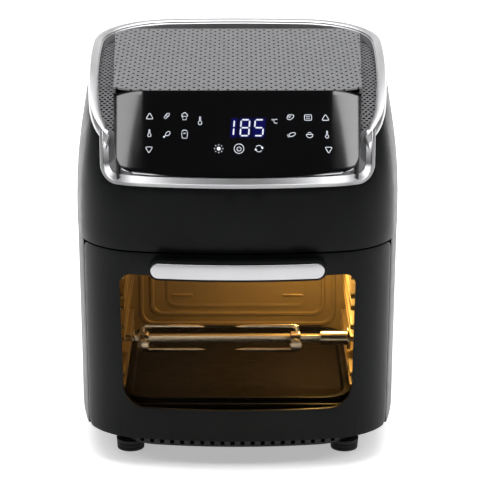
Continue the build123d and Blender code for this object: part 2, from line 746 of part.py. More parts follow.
with BuildPart() as fan_guard:
    with BuildSketch(Plane.XY.offset(CAVITY_TOP - SHEET - 2.2)):
        with Locations(fan_centre):
            Circle(GUARD_R + 6)
            for radius, count in ((20, 8), (34, 14), (48, 20), (62, 26), (75, 32)):
                with PolarLocations(radius, count):
                    Circle(3.0, mode=Mode.SUBTRACT)
    extrude(amount=2.0)
save(fan_guard, "fan_guard")

with BuildPart() as fan_chamber:
    with BuildSketch(Plane.XY.offset(CAVITY_TOP)):
        with Locations(fan_centre):
            Circle(CHAMBER_R)
            Circle(GUARD_R, mode=Mode.SUBTRACT)
    extrude(amount=SHEET)
    with BuildSketch(Plane.XY.offset(CAVITY_TOP + SHEET)):
        with Locations(fan_centre):
            Circle(GUARD_R + 2)
            Circle(GUARD_R + 2 - SHEET, mode=Mode.SUBTRACT)
    extrude(amount=CHAMBER_TOP - CAVITY_TOP - SHEET)
    with BuildSketch(Plane.XY.offset(CHAMBER_TOP - SHEET)):
        with Locations(fan_centre):
            Circle(GUARD_R + 2)
            Circle(SHAFT_R + 2, mode=Mode.SUBTRACT)
        with Locations((-LEAD_X, LEAD_Y), (LEAD_X, LEAD_Y)):
            Circle(TUBE_R + 0.8, mode=Mode.SUBTRACT)
    extrude(amount=SHEET)
save(fan_chamber, "fan_chamber")

with BuildPart() as heating_element:
    with Locations((0, FAN_Y, HEATER_Z)):
        Torus(COIL_R, TUBE_R)
        Torus(COIL_R - 12, TUBE_R)
    with Locations((0, FAN_Y + COIL_R - 6, HEATER_Z)):
        Box(2 * LEAD_X, 24, 2 * TUBE_R + 1, mode=Mode.SUBTRACT)
    with BuildSketch(Plane.XY.offset(HEATER_Z)):
        for side in (-1, 1):
            with Locations((side * LEAD_X, LEAD_Y)):
                Circle(TUBE_R)
    extrude(amount=44)
    with BuildSketch(Plane.XY.offset(HEATER_Z - 1.5)):
        for side in (-1, 1):
            with Locations((side * LEAD_X, FAN_Y + COIL_R - 6)):
                SlotOverall(17, 5, rotation=90)
    extrude(amount=3)
save(heating_element, "heating_element")

with BuildPart() as fan_motor:
    with BuildSketch(Plane.XY.offset(BRACKET_Z + 2)):
        with Locations(fan_centre):
            Circle(MOTOR_R)
    extrude(amount=MOTOR_TOP - BRACKET_Z - 2)
    fillet(edges().group_by(Axis.Z)[-1], 3)
    with BuildSketch(Plane.XY.offset(BRACKET_Z)):
        with Locations(fan_centre):
            Circle(SHAFT_R + RUN_GAP)
    extrude(amount=30, mode=Mode.SUBTRACT)
save(fan_motor, "fan_motor")

BRACKET_REACH = 64.0
LEG = 7.0
with BuildPart() as motor_bracket:
    with BuildSketch(Plane.XY.offset(BRACKET_Z)):
        with Locations(fan_centre):
            RectangleRounded(2 * BRACKET_REACH, 44, 6)
            Circle(SHAFT_R + 3, mode=Mode.SUBTRACT)
            with GridLocations(80, 28, 2, 2):
                Circle(2, mode=Mode.SUBTRACT)
    extrude(amount=2)
    with BuildSketch(Plane.XY.offset(CHAMBER_TOP)):
        with Locations(fan_centre):
            with GridLocations(2 * BRACKET_REACH - LEG, 44 - LEG, 2, 2):
                Circle(LEG / 2 - 0.2)
    extrude(amount=BRACKET_Z - CHAMBER_TOP)
save(motor_bracket, "motor_bracket")


def fan_wheel(bottom, height, hub_r, outer_r, blades, plate_up):
    """Wheel with a hub bored for the shaft, a thin plate and flat radial blades."""
    plate_z = bottom + height - 1.2 if plate_up else bottom
    with BuildPart() as wheel:
        with BuildSketch(Plane.XY.offset(plate_z)):
            with Locations(fan_centre):
                Circle(outer_r)
        extrude(amount=1.2)
        with BuildSketch(Plane.XY.offset(bottom)):
            with Locations(fan_centre):
                Circle(hub_r)
                with PolarLocations(0, blades):
                    with Locations(((hub_r + outer_r) / 2, 0)):
                        Rectangle(outer_r - hub_r + 2, 1.2)
        extrude(amount=height)
        with BuildSketch(Plane.XY.offset(bottom - 1)):
            with Locations(fan_centre):
                Circle(SHAFT_R)
        extrude(amount=height + 2, mode=Mode.SUBTRACT)
        with BuildSketch(Plane.XY.offset(bottom - 1)):
            with Locations(fan_centre):
                Circle(3 * outer_r)
                Circle(outer_r - 0.5, mode=Mode.SUBTRACT)
        extrude(amount=height + 2, mode=Mode.SUBTRACT)
    return wheel


convection_fan = fan_wheel(WHEEL_BOTTOM, 14.0, 7.0, 46.0, 10, True)
save(convection_fan, "convection_fan")
cooling_fan = fan_wheel(COOLING_BOTTOM, 10.0, 6.0, 44.0, 12, False)
save(cooling_fan, "cooling_fan")

with BuildPart() as fan_shaft:
    with BuildSketch(Plane.XY.offset(WHEEL_BOTTOM - 6)):
        with Locations(fan_centre):
            Circle(SHAFT_R)
    extrude(amount=MOTOR_TOP - WHEEL_BOTTOM + 2)
    with BuildSketch(Plane.XY.offset(WHEEL_BOTTOM - 4.5)):
        with Locations(fan_centre):
            RegularPolygon(6.0, 6)
    extrude(amount=4.5)
save(fan_shaft, "fan_shaft")

# ---------------------------------------------------------------- rotisserie
SOCKET_LEFT = 82.0
SOCKET_RIGHT = 108.0
SOCKET_R = 7.0
DISC_R = 11.0
DISC_T = 3.0
DRIVE_SHAFT_R = 3.5
GEARBOX_LEFT = 121.0
GEARBOX_T = 22.0
spit_axis_point = (SPIT_Y, SPIT_Z)
SPIT_CLEAR = 0.1                # clear space round the square rod in the fork hubs, each side

with BuildPart() as rotisserie_motor:
    with BuildSketch(Plane.YZ.offset(GEARBOX_LEFT)):
        with Locations(spit_axis_point):
            RectangleRounded(56, 48, 10)
    extrude(amount=GEARBOX_T)
    fillet(edges().group_by(Axis.X)[-1], 2)
    for lift in (-30, 30):
        with BuildSketch(Plane.YZ.offset(CAVITY_HALF)):
            with Locations((SPIT_Y, SPIT_Z + lift)):
                RectangleRounded(20, 16, 3)
        extrude(amount=GEARBOX_LEFT - CAVITY_HALF + 6)
    with BuildSketch(Plane.YZ.offset(GEARBOX_LEFT)):
        with Locations(spit_axis_point):
            Circle(DRIVE_SHAFT_R + RUN_GAP)
    extrude(amount=16, mode=Mode.SUBTRACT)
save(rotisserie_motor, "rotisserie_motor")

with BuildPart() as drive_socket:
    with BuildSketch(Plane.YZ.offset(SOCKET_LEFT)):
        with Locations(spit_axis_point):
            Circle(SOCKET_R)
    extrude(amount=SOCKET_RIGHT - SOCKET_LEFT)
    with BuildSketch(Plane.YZ.offset(SOCKET_RIGHT)):
        with Locations(spit_axis_point):
            Circle(DISC_R)
    extrude(amount=DISC_T)
    with BuildSketch(Plane.YZ.offset(SOCKET_RIGHT + DISC_T)):
        with Locations(spit_axis_point):
            Circle(DRIVE_SHAFT_R)
    extrude(amount=GEARBOX_LEFT + 14 - SOCKET_RIGHT - DISC_T)
    with BuildSketch(Plane.YZ.offset(SOCKET_LEFT)):
        with Locations(spit_axis_point):
            Rectangle(SPIT_SIDE, SPIT_SIDE)
    extrude(amount=20, mode=Mode.SUBTRACT)
save(drive_socket, "drive_socket")

ROD_LEFT = -104.0
with BuildPart() as spit_rod:
    with BuildSketch(Plane.YZ.offset(ROD_LEFT)):
        with Locations(spit_axis_point):
            Rectangle(SPIT_SIDE, SPIT_SIDE)
    extrude(amount=SOCKET_LEFT + 18 - ROD_LEFT)
    with BuildSketch(Plane.YZ.offset(ROD_LEFT)):
        with Locations(spit_axis_point):
            Circle(JOURNAL_R)
    extrude(amount=-16)
    with BuildSketch(Plane.YZ.offset(ROD_LEFT)):
        with Locations(spit_axis_point):
            Circle(7.5)
            Rectangle(SPIT_SIDE - 1, SPIT_SIDE - 1, mode=Mode.SUBTRACT)
    extrude(amount=2.5)
save(spit_rod, "spit_rod")

with BuildPart() as spit_bearing:
    with BuildSketch(Plane.YZ.offset(-INNER_HALF)):
        with Locations(spit_axis_point):
            Circle(BUSH_R + 4)
    extrude(amount=2)
    with BuildSketch(Plane.YZ.offset(-INNER_HALF)):
        with Locations(spit_axis_point):
            Circle(BUSH_R)
    extrude(amount=-8)
    with BuildSketch(Plane.YZ.offset(-INNER_HALF - 7)):
        with Locations(spit_axis_point):
            Circle(JOURNAL_R + RUN_GAP)
    extrude(amount=20, mode=Mode.SUBTRACT)
save(spit_bearing, "spit_bearing")

TINE_R = 1.8
TINE_REACH = 12.5
HUB = 18.0
HUB_T = 10.0
SCREW_R = 2.5
SCREW_TIP_GAP = 0.3


def fork(hub_left, tine_tip, spread_y, spread_z):
    """Two-tined fork on a square hub; the tines run from the hub to tine_tip along X."""
    hub_face = hub_left + HUB_T if tine_tip > hub_left else hub_left
    length = tine_tip - hub_face
    sign = math.copysign(1, length)
    with BuildPart() as piece:
        with BuildSketch(Plane.YZ.offset(hub_left)):
            with Locations(spit_axis_point):
                RectangleRounded(HUB, HUB, 3)
                Rectangle(
                    2 * TINE_REACH * spread_y + 5.0, 2 * TINE_REACH * spread_z + 5.0
                )
        extrude(amount=HUB_T)
        for side in (-1, 1):
            with BuildSketch(Plane.YZ.offset(hub_face)):
                with Locations(
                    (SPIT_Y + side * TINE_REACH * spread_y, SPIT_Z + side * TINE_REACH * spread_z)
                ):
                    Circle(TINE_R)
            extrude(amount=length - sign * 8)
            with BuildSketch(Plane.YZ.offset(tine_tip - sign * 8)):
                with Locations(
                    (SPIT_Y + side * TINE_REACH * spread_y, SPIT_Z + side * TINE_REACH * spread_z)
                ):
                    Circle(TINE_R)
            extrude(amount=sign * 8, taper=11)
        with BuildSketch(Plane.YZ.offset(hub_left - 1)):
            with Locations(spit_axis_point):
                Rectangle(SPIT_SIDE + 2 * SPIT_CLEAR, SPIT_SIDE + 2 * SPIT_CLEAR)
        extrude(amount=HUB_T + 2, mode=Mode.SUBTRACT)
        with BuildSketch(Plane.XZ.offset(-SPIT_Y)):
            with Locations((hub_left + HUB_T / 2, SPIT_Z)):
                Circle(SCREW_R + RUN_GAP)
        extrude(amount=40, mode=Mode.SUBTRACT)
    return piece


def clamp_screw(hub_left):
    """Thumb screw that points at the rod from the front."""
    tip = -SPIT_Y + SPIT_SIDE / 2 + SCREW_TIP_GAP
    place = (hub_left + HUB_T / 2, SPIT_Z)
    with BuildPart() as piece:
        with BuildSketch(Plane.XZ.offset(tip)):
            with Locations(place):
                Circle(SCREW_R)
        extrude(amount=11)
        with BuildSketch(Plane.XZ.offset(tip + 11)):
            with Locations(place):
                Circle(4.0)
        extrude(amount=7)
        with BuildSketch(Plane.XZ.offset(tip + 12)):
            with Locations(place):
                RectangleRounded(3, 15, 1.4)
        extrude(amount=7)
    return piece


LEFT_HUB = -97.0
RIGHT_HUB = 52.0
left_fork = fork(LEFT_HUB, -32.0, 0, 1)
save(left_fork, "left_fork")
right_fork = fork(RIGHT_HUB, -2.0, 0, 1)
save(right_fork, "right_fork")
left_fork_screw = clamp_screw(LEFT_HUB)
save(left_fork_screw, "left_fork_screw")
right_fork_screw = clamp_screw(RIGHT_HUB)
save(right_fork_screw, "right_fork_screw")

# ---------------------------------------------------------------- hinge brackets and door switch
with BuildPart() as hinge_brackets:
    for side in (-1, 1):
        with BuildSketch(Plane.YZ.offset(side * BRACKET_X - BRACKET_T / 2)):
            with BuildLine():
                Polyline(
                    (HINGE_Y, HINGE_Z + 6),
                    (FRAME_FRONT, HINGE_Z + 6),
                    (FRAME_FRONT, HINGE_Z - 6),
                    (HINGE_Y, HINGE_Z - 6),
                )
                ThreePointArc((HINGE_Y, HINGE_Z - 6), (HINGE_Y - 6, HINGE_Z), (HINGE_Y, HINGE_Z + 6))
            make_face()
            with Locations((HINGE_Y, HINGE_Z)):
                Circle(HINGE_PIN_R + RUN_GAP, mode=Mode.SUBTRACT)
        extrude(amount=BRACKET_T)
save(hinge_brackets, "hinge_brackets")

SWITCH_BODY_FRONT = FRAME_FRONT + FRAME_T
with BuildPart() as door_switch_body:
    with BuildSketch(Plane.XZ.offset(-SWITCH_BODY_FRONT)):
        with Locations((SWITCH_X, SWITCH_Z)):
            RectangleRounded(8.4, 18, 1)
    extrude(amount=-20)
    with BuildSketch(Plane.XZ.offset(-SWITCH_BODY_FRONT)):
        with Locations((SWITCH_X, SWITCH_Z)):
            Circle(PLUNGER_R + RUN_GAP)
    extrude(amount=-16, mode=Mode.SUBTRACT)
save(door_switch_body, "door_switch_body")

INNER_FRAME_BACK = -115.0
INNER_FRAME_T = 3.0
with BuildPart() as door_switch_plunger:
    with BuildSketch(Plane.XZ.offset(-INNER_FRAME_BACK - PLUNGER_GAP)):
        with Locations((SWITCH_X, SWITCH_Z)):
            Circle(PLUNGER_R)
    extrude(amount=-18)
    fillet(edges().group_by(Axis.Y)[0], 0.8)
save(door_switch_plunger, "door_switch_plunger")

# ---------------------------------------------------------------- door
GLASS_T = 3.0
POCKET_X = 56.0
POCKET_Z = (199.0, 211.0)
POCKET_DEPTH = 6.0
BOTTOM_SHELF = 33.0
TOP_SHELF = 211.2
RETURN_CORNER = 9.0
PANE_X = 236.0                  # width of both glass panes
OUTER_PANE_Z = (53.0, 195.0)
PANE_Z = 127.0                  # middle height of the inner pane, its frame and the gasket
INNER_PANE_HEIGHT = 152.0
SIGHT = (226.0, 142.0)          # opening of the inner frame
GASKET = (244.0, 160.0)
GASKET_WIDTH = 5.0
GASKET_T = 3.6
door_hollow_outer = body_solid(LOWER, DOOR_WALL, ruled=True)
door_pocket_floor = body_solid(LOWER, POCKET_DEPTH, ruled=True)
door_pocket_back = body_solid(LOWER, POCKET_DEPTH + DOOR_WALL, ruled=True)
glass_back = body_solid(LOWER, DOOR_WALL + GLASS_T, ruled=True)
pocket_mid_z = (POCKET_Z[0] + POCKET_Z[1]) / 2
pocket_height = POCKET_Z[1] - POCKET_Z[0]

with BuildPart() as pocket_cut:
    with BuildSketch(Plane.XZ.offset(120)):
        with Locations((0, pocket_mid_z)):
            SlotOverall(2 * POCKET_X, pocket_height)
    extrude(amount=60)
    add(door_pocket_floor, mode=Mode.SUBTRACT)

with BuildPart() as door_hollow:
    add(door_hollow_outer)
    with BuildSketch(Plane.XZ.offset(120)):
        with Locations((0, pocket_mid_z)):
            SlotOverall(2 * (POCKET_X + DOOR_WALL), pocket_height + 2 * DOOR_WALL)
    extrude(amount=60, mode=Mode.SUBTRACT)
    add(door_pocket_back)
    with BuildSketch(Plane.XY.offset(BOTTOM_SHELF)):
        Rectangle(PAST, PAST)
    extrude(amount=TOP_SHELF - BOTTOM_SHELF, mode=Mode.INTERSECT)


def window_sketch(grow):
    middle = (WINDOW_TOP + WINDOW_BOTTOM) / 2
    half_height = (WINDOW_TOP - WINDOW_BOTTOM) / 2 + grow
    with BuildLine() as outline:
        Polyline(
            (-WINDOW_HALF_BOTTOM - grow, middle - half_height),
            (WINDOW_HALF_BOTTOM + grow, middle - half_height),
            (WINDOW_HALF_TOP + grow, middle + half_height),
            (-WINDOW_HALF_TOP - grow, middle + half_height),
            close=True,
        )
    make_face(outline.edges())
    fillet(vertices().group_by(Axis.Y)[0], WINDOW_CORNER_LOW + grow)
    fillet(vertices().group_by(Axis.Y)[-1], WINDOW_CORNER_HIGH + grow)


with BuildPart() as door_shell:
    add(lower_outer)
    with BuildSketch(Plane.XY.offset(DOOR_TOP)):
        Rectangle(PAST, PAST)
    extrude(amount=20, mode=Mode.SUBTRACT)
    with BuildSketch(Plane.YZ):
        with Locations((DOOR_BACK, BODY_BOTTOM)):
            Rectangle(90, DOOR_TOP - BODY_BOTTOM, align=(Align.MAX, Align.MIN))
        fillet(vertices().group_by(Axis.X)[-1], RETURN_CORNER)
    extrude(amount=200, both=True, mode=Mode.INTERSECT)
    add(door_hollow.part, mode=Mode.SUBTRACT)
    add(pocket_cut.part, mode=Mode.SUBTRACT)
    with BuildSketch(Plane.XZ.offset(-INNER_FRAME_BACK)):
        Rectangle(2 * WING_X, 2 * PAST)
    extrude(amount=-40, mode=Mode.SUBTRACT)
    with BuildSketch(Plane.XZ.offset(-INNER_FRAME_BACK)):
        window_sketch(0.0)
    extrude(amount=60, mode=Mode.SUBTRACT)
    with BuildSketch(Plane.XZ.offset(-INNER_FRAME_BACK)):
        with Locations((-POST_X, HANDLE_Z), (POST_X, HANDLE_Z)):
            Circle(HANDLE_SCREW_R)
    extrude(amount=60, mode=Mode.SUBTRACT)
    for side in (-1, 1):
        with BuildSketch(Plane.YZ.offset(side * BRACKET_X)):
            with Locations((HINGE_Y, HINGE_Z)):
                Rectangle(13, 2 * (HINGE_Z - BOTTOM_SHELF) + 6)
        extrude(amount=NOTCH_HALF_W + 5, both=True)
        with BuildSketch(Plane.YZ.offset(side * BRACKET_X)):
            with Locations((HINGE_Y - 7.2, HINGE_Z - 12)):
                Rectangle(30, 20.5, align=(Align.MIN, Align.MIN))
        extrude(amount=NOTCH_HALF_W, both=True, mode=Mode.SUBTRACT)
        with BuildSketch(Plane.YZ.offset(side * BRACKET_X)):
            with Locations((HINGE_Y, HINGE_Z)):
                Circle(HINGE_PIN_R)
        extrude(amount=NOTCH_HALF_W + 4, both=True, mode=Mode.SUBTRACT)
save(door_shell, "door_shell")

with BuildPart() as hinge_pins:
    for side in (-1, 1):
        with BuildSketch(Plane.YZ.offset(side * BRACKET_X)):
            with Locations((HINGE_Y, HINGE_Z)):
                Circle(HINGE_PIN_R)
        extrude(amount=NOTCH_HALF_W + 4, both=True)
save(hinge_pins, "hinge_pins")

with BuildPart() as door_outer_glass:
    add(door_hollow_outer)
    add(glass_back, mode=Mode.SUBTRACT)
    with BuildSketch(Plane.XZ.offset(110)):
        with Locations((0, (OUTER_PANE_Z[0] + OUTER_PANE_Z[1]) / 2)):
            RectangleRounded(PANE_X, OUTER_PANE_Z[1] - OUTER_PANE_Z[0], 10)
    extrude(amount=60, mode=Mode.INTERSECT)
save(door_outer_glass, "door_outer_glass")

with BuildPart() as door_inner_frame:
    with BuildSketch(Plane.XZ.offset(-INNER_FRAME_BACK)):
        with Locations((0, (BOTTOM_SHELF + TOP_SHELF) / 2)):
            RectangleRounded(255, TOP_SHELF - BOTTOM_SHELF - 0.4, 6)
        with Locations((0, PANE_Z)):
            RectangleRounded(*SIGHT, 16, mode=Mode.SUBTRACT)
        for side in (-1, 1):
            with Locations((side * BRACKET_X, BOTTOM_SHELF)):
                Rectangle(2 * NOTCH_HALF_W, 27, mode=Mode.SUBTRACT)
    extrude(amount=INNER_FRAME_T)
save(door_inner_frame, "door_inner_frame")

with BuildPart() as door_inner_glass:
    with BuildSketch(Plane.XZ.offset(-INNER_FRAME_BACK + INNER_FRAME_T)):
        with Locations((0, PANE_Z)):
            RectangleRounded(PANE_X, INNER_PANE_HEIGHT, 12)
    extrude(amount=GLASS_T)
save(door_inner_glass, "door_inner_glass")

with BuildPart() as door_gasket:
    with BuildSketch(Plane.XZ.offset(-INNER_FRAME_BACK)):
        with Locations((0, PANE_Z)):
            RectangleRounded(*GASKET, 22)
            RectangleRounded(
                GASKET[0] - 2 * GASKET_WIDTH, GASKET[1] - 2 * GASKET_WIDTH, 17, mode=Mode.SUBTRACT
            )
    extrude(amount=-GASKET_T)
save(door_gasket, "door_gasket")

# ---------------------------------------------------------------- handle
handle_back = body_solid(LOWER, -HANDLE_GAP, ruled=True)
handle_front = body_solid(LOWER, -HANDLE_GAP - HANDLE_DEPTH, ruled=True)
face_front = body_solid(LOWER, -HANDLE_GAP - HANDLE_DEPTH - HANDLE_FACE[2], ruled=True)
HANDLE_START = -130.0           # handle profiles are drawn at this Y and cut back to the door

with BuildPart() as handle_body:
    with BuildSketch(Plane.XZ.offset(-HANDLE_START)):
        with Locations((0, HANDLE_Z)):
            SlotOverall(HANDLE_LENGTH, HANDLE_HEIGHT)
    extrude(amount=60)
    add(handle_front, mode=Mode.INTERSECT)
    add(handle_back, mode=Mode.SUBTRACT)
    with BuildSketch(Plane.XZ.offset(-HANDLE_START)):
        with Locations((-POST_X, HANDLE_Z), (POST_X, HANDLE_Z)):
            Circle(6.0)
    extrude(amount=32)
    add(lower_outer, mode=Mode.SUBTRACT)
    with BuildSketch(Plane.XZ.offset(-HANDLE_START)):
        with Locations((-POST_X, HANDLE_Z), (POST_X, HANDLE_Z)):
            Circle(HANDLE_SCREW_R)
    extrude(amount=32, mode=Mode.SUBTRACT)
save(handle_body, "handle_body")

with BuildPart() as handle_face:
    with BuildSketch(Plane.XZ.offset(-HANDLE_START)):
        with Locations((0, HANDLE_Z)):
            SlotOverall(HANDLE_FACE[0], HANDLE_FACE[1])
    extrude(amount=60)
    add(face_front, mode=Mode.INTERSECT)
    add(handle_front, mode=Mode.SUBTRACT)
save(handle_face, "handle_face")

SCREW_HEAD_Y = -139.4
with BuildPart() as handle_screws:
    with BuildSketch(Plane.XZ.offset(-SCREW_HEAD_Y)):
        with Locations((-POST_X, HANDLE_Z), (POST_X, HANDLE_Z)):
            Circle(3.5)
    extrude(amount=2.2)
    with BuildSketch(Plane.XZ.offset(-SCREW_HEAD_Y)):
        with Locations((-POST_X, HANDLE_Z), (POST_X, HANDLE_Z)):
            Circle(HANDLE_SCREW_R)
    extrude(amount=17)
save(handle_screws, "handle_screws")
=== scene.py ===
import json
import math

import bmesh
import bpy
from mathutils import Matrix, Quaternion, Vector


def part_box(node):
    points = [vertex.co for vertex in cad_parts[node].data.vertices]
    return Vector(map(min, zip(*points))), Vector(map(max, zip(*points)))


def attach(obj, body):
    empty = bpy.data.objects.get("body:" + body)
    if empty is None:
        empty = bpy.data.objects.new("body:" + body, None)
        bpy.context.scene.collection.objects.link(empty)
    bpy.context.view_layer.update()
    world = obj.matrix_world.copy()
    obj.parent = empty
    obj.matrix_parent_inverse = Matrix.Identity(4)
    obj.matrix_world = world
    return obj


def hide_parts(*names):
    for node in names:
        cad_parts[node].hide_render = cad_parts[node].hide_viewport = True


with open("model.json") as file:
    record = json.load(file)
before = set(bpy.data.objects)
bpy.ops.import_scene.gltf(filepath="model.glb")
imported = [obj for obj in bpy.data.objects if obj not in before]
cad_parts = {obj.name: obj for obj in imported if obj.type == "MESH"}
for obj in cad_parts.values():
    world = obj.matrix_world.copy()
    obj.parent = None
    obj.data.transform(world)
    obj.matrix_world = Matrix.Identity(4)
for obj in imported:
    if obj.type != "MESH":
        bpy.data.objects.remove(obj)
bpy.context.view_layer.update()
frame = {"nodes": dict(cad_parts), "record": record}

MM = 0.001
NODES = frame["nodes"]
BODY_OF = {n: b for b, members in frame["record"]["behaviour"]["bodies"].items() for n in members}
SLOT_OF = {row["node"]: row["material_slot"] for row in frame["record"]["subparts"]}

# ---- materials
LOOKS = {}                # every material by its name


def shader(name):
    """A new material in LOOKS; gives its node tree and its Principled node."""
    material = bpy.data.materials.new(name)
    material.use_nodes = True
    LOOKS[name] = material
    return material.node_tree, material.node_tree.nodes["Principled BSDF"]


def noise(tree, scale, detail=4.0, stretch=(1, 1, 1)):
    """Noise over object coordinates, in metres, optionally stretched."""
    place = tree.nodes.new("ShaderNodeTexCoord")
    mapping = tree.nodes.new("ShaderNodeMapping")
    mapping.inputs["Scale"].default_value = stretch
    texture = tree.nodes.new("ShaderNodeTexNoise")
    texture.inputs["Scale"].default_value = scale
    texture.inputs["Detail"].default_value = detail
    tree.links.new(place.outputs["Object"], mapping.inputs["Vector"])
    tree.links.new(mapping.outputs["Vector"], texture.inputs["Vector"])
    return texture.outputs["Fac"]


def spread(tree, source, low, high, target):
    """Maps a 0.3 to 0.7 noise onto low to high and feeds it to a socket."""
    ramp = tree.nodes.new("ShaderNodeMapRange")
    for socket, value in (("From Min", 0.3), ("From Max", 0.7), ("To Min", low), ("To Max", high)):
        ramp.inputs[socket].default_value = value
    tree.links.new(source, ramp.inputs["Value"])
    tree.links.new(ramp.outputs["Result"], target)


def blend_colour(tree, source, dark, light, target):
    """Maps the same noise range onto two colours."""
    ramp = tree.nodes.new("ShaderNodeValToRGB")
    ramp.color_ramp.elements[0].position = 0.3
    ramp.color_ramp.elements[0].color = (*dark, 1)
    ramp.color_ramp.elements[1].position = 0.7
    ramp.color_ramp.elements[1].color = (*light, 1)
    tree.links.new(source, ramp.inputs["Fac"])
    tree.links.new(ramp.outputs["Color"], target)


def bump(tree, source, strength, distance, target):
    """Feeds a fine relief to a normal socket."""
    node = tree.nodes.new("ShaderNodeBump")
    node.inputs["Strength"].default_value = strength
    node.inputs["Distance"].default_value = distance
    tree.links.new(source, node.inputs["Height"])
    tree.links.new(node.outputs["Normal"], target)


def surface(name, dark, light, rough, metallic=0.0, tone_scale=14.0, grain=900.0, relief=0.05,
            stretch=(1, 1, 1), coat=0.0, coat_rough=0.1, specular=0.5):
    """Solid finish with tone drift, uneven gloss and a fine relief."""
    tree, bsdf = shader(name)
    bsdf.inputs["Metallic"].default_value = metallic
    bsdf.inputs["Specular IOR Level"].default_value = specular
    bsdf.inputs["Coat Weight"].default_value = coat
    bsdf.inputs["Coat Roughness"].default_value = coat_rough
    blend_colour(tree, noise(tree, tone_scale, 3.0, stretch), dark, light, bsdf.inputs["Base Color"])
    spread(tree, noise(tree, tone_scale * 6, 5.0, stretch), rough[0], rough[1], bsdf.inputs["Roughness"])
    bump(tree, noise(tree, grain, 2.0, stretch), relief, 0.0004, bsdf.inputs["Normal"])


def glow(name, colour, strength):
    """Self-lit finish of slightly uneven strength."""
    tree, bsdf = shader(name)
    bsdf.inputs["Base Color"].default_value = (*[c * 0.02 for c in colour], 1)
    bsdf.inputs["Roughness"].default_value = 0.4
    bsdf.inputs["Specular IOR Level"].default_value = 0.1
    bsdf.inputs["Emission Color"].default_value = (*colour, 1)
    spread(tree, noise(tree, 160.0, 2.0), strength * 0.85, strength * 1.1,
           bsdf.inputs["Emission Strength"])


def brushed(name, dark, light, rough, along):
    """Metal with fine lines that run along one axis (0, 1 or 2)."""
    stretch = [1.0, 1.0, 1.0]
    stretch[along] = 0.03
    surface(name, dark, light, rough, metallic=1.0, tone_scale=70.0, grain=1600.0, relief=0.12,
            stretch=tuple(stretch))


def pane(name, tint, gloss, rough):
    """Thin clear pane: see-through with a weak reflection, lightly smeared."""
    tree, bsdf = shader(name)
    tree.nodes.remove(bsdf)
    clear = tree.nodes.new("ShaderNodeBsdfTransparent")
    shine = tree.nodes.new("ShaderNodeBsdfGlossy")
    mix = tree.nodes.new("ShaderNodeMixShader")
    facing = tree.nodes.new("ShaderNodeLayerWeight")
    facing.inputs["Blend"].default_value = gloss
    blend_colour(tree, noise(tree, 7.0, 2.0), tint, [c * 0.97 for c in tint], clear.inputs["Color"])
    spread(tree, noise(tree, 30.0, 4.0), rough[0], rough[1], shine.inputs["Roughness"])
    tree.links.new(facing.outputs["Fresnel"], mix.inputs["Fac"])
    tree.links.new(clear.outputs["BSDF"], mix.inputs[1])
    tree.links.new(shine.outputs["BSDF"], mix.inputs[2])
    tree.links.new(mix.outputs["Shader"], tree.nodes["Material Output"].inputs["Surface"])


surface("shell_black", (0.0018, 0.0024, 0.0020), (0.0034, 0.0042, 0.0038), (0.30, 0.36), relief=0.03,
        specular=0.09)
surface("base_grey", (0.012, 0.013, 0.013), (0.019, 0.020, 0.020), (0.42, 0.52), relief=0.10,
        specular=0.3)
surface("rubber_black", (0.005, 0.005, 0.005), (0.010, 0.010, 0.010), (0.55, 0.7), grain=600.0,
        relief=0.15, specular=0.3)
surface("silver_trim", (0.60, 0.60, 0.61), (0.68, 0.68, 0.69), (0.30, 0.34), metallic=1.0,
        tone_scale=5.0, relief=0.0)
surface("panel_gloss", (0.0012, 0.0012, 0.0015), (0.0022, 0.0022, 0.0026), (0.11, 0.14), relief=0.003,
        coat=0.5, coat_rough=0.07, specular=0.45)
surface("grille_grey", (0.105, 0.105, 0.11), (0.135, 0.135, 0.14), (0.42, 0.52), metallic=0.3,
        tone_scale=120.0, relief=0.15, grain=1400.0)
surface("pod_grey", (0.010, 0.010, 0.011), (0.017, 0.017, 0.018), (0.4, 0.5), relief=0.1)
surface("board_green", (0.01, 0.09, 0.03), (0.02, 0.14, 0.05), (0.35, 0.5), tone_scale=90.0)
surface("display_dark", (0.002, 0.002, 0.004), (0.004, 0.004, 0.008), (0.1, 0.2))
# the cavity steel's amber tone is painted lamp light: the oven lamp's warm glow laid into the steel's own
# colour
surface("oven_steel", (0.20, 0.155, 0.09), (0.27, 0.21, 0.125), (0.36, 0.44), metallic=0.45,
        tone_scale=9.0, grain=700.0, relief=0.04)
surface("enamel_dark", (0.0030, 0.0024, 0.0018), (0.0060, 0.0048, 0.0035), (0.40, 0.52), relief=0.08,
        specular=0.06)
brushed("bright_steel", (0.50, 0.50, 0.50), (0.66, 0.66, 0.66), (0.18, 0.28), 0)
brushed("zinc_steel", (0.36, 0.37, 0.40), (0.50, 0.51, 0.53), (0.3, 0.42), 0)
surface("heater_steel", (0.06, 0.05, 0.045), (0.12, 0.10, 0.09), (0.4, 0.6), metallic=0.8)
brushed("motor_metal", (0.3, 0.31, 0.33), (0.42, 0.43, 0.45), (0.32, 0.45), 2)
glow("lamp_glass", (1.0, 0.72, 0.36), 7.0)
surface("lamp_socket", (0.62, 0.6, 0.55), (0.72, 0.7, 0.65), (0.5, 0.6))
pane("door_glass", (0.93, 0.90, 0.85), 0.06, (0.0, 0.015))
surface("gasket_grey", (0.03, 0.03, 0.03), (0.05, 0.05, 0.05), (0.55, 0.7), relief=0.15)
surface("switch_red", (0.35, 0.02, 0.015), (0.45, 0.03, 0.02), (0.35, 0.45))
surface("screw_black", (0.01, 0.01, 0.01), (0.03, 0.03, 0.03), (0.3, 0.45), metallic=0.6)
# darker copy of the ring's silver for the trim round the notch: shade painted into its colour, so the notch
# trim reads greyer than the ring
surface("notch_silver_painted_shade", (0.47, 0.47, 0.48), (0.53, 0.53, 0.54), (0.27, 0.31), metallic=1.0,
        tone_scale=5.0, relief=0.0)
surface("handle_silver", (0.40, 0.40, 0.41), (0.47, 0.47, 0.48), (0.24, 0.28), metallic=1.0,
        tone_scale=5.0, relief=0.004)
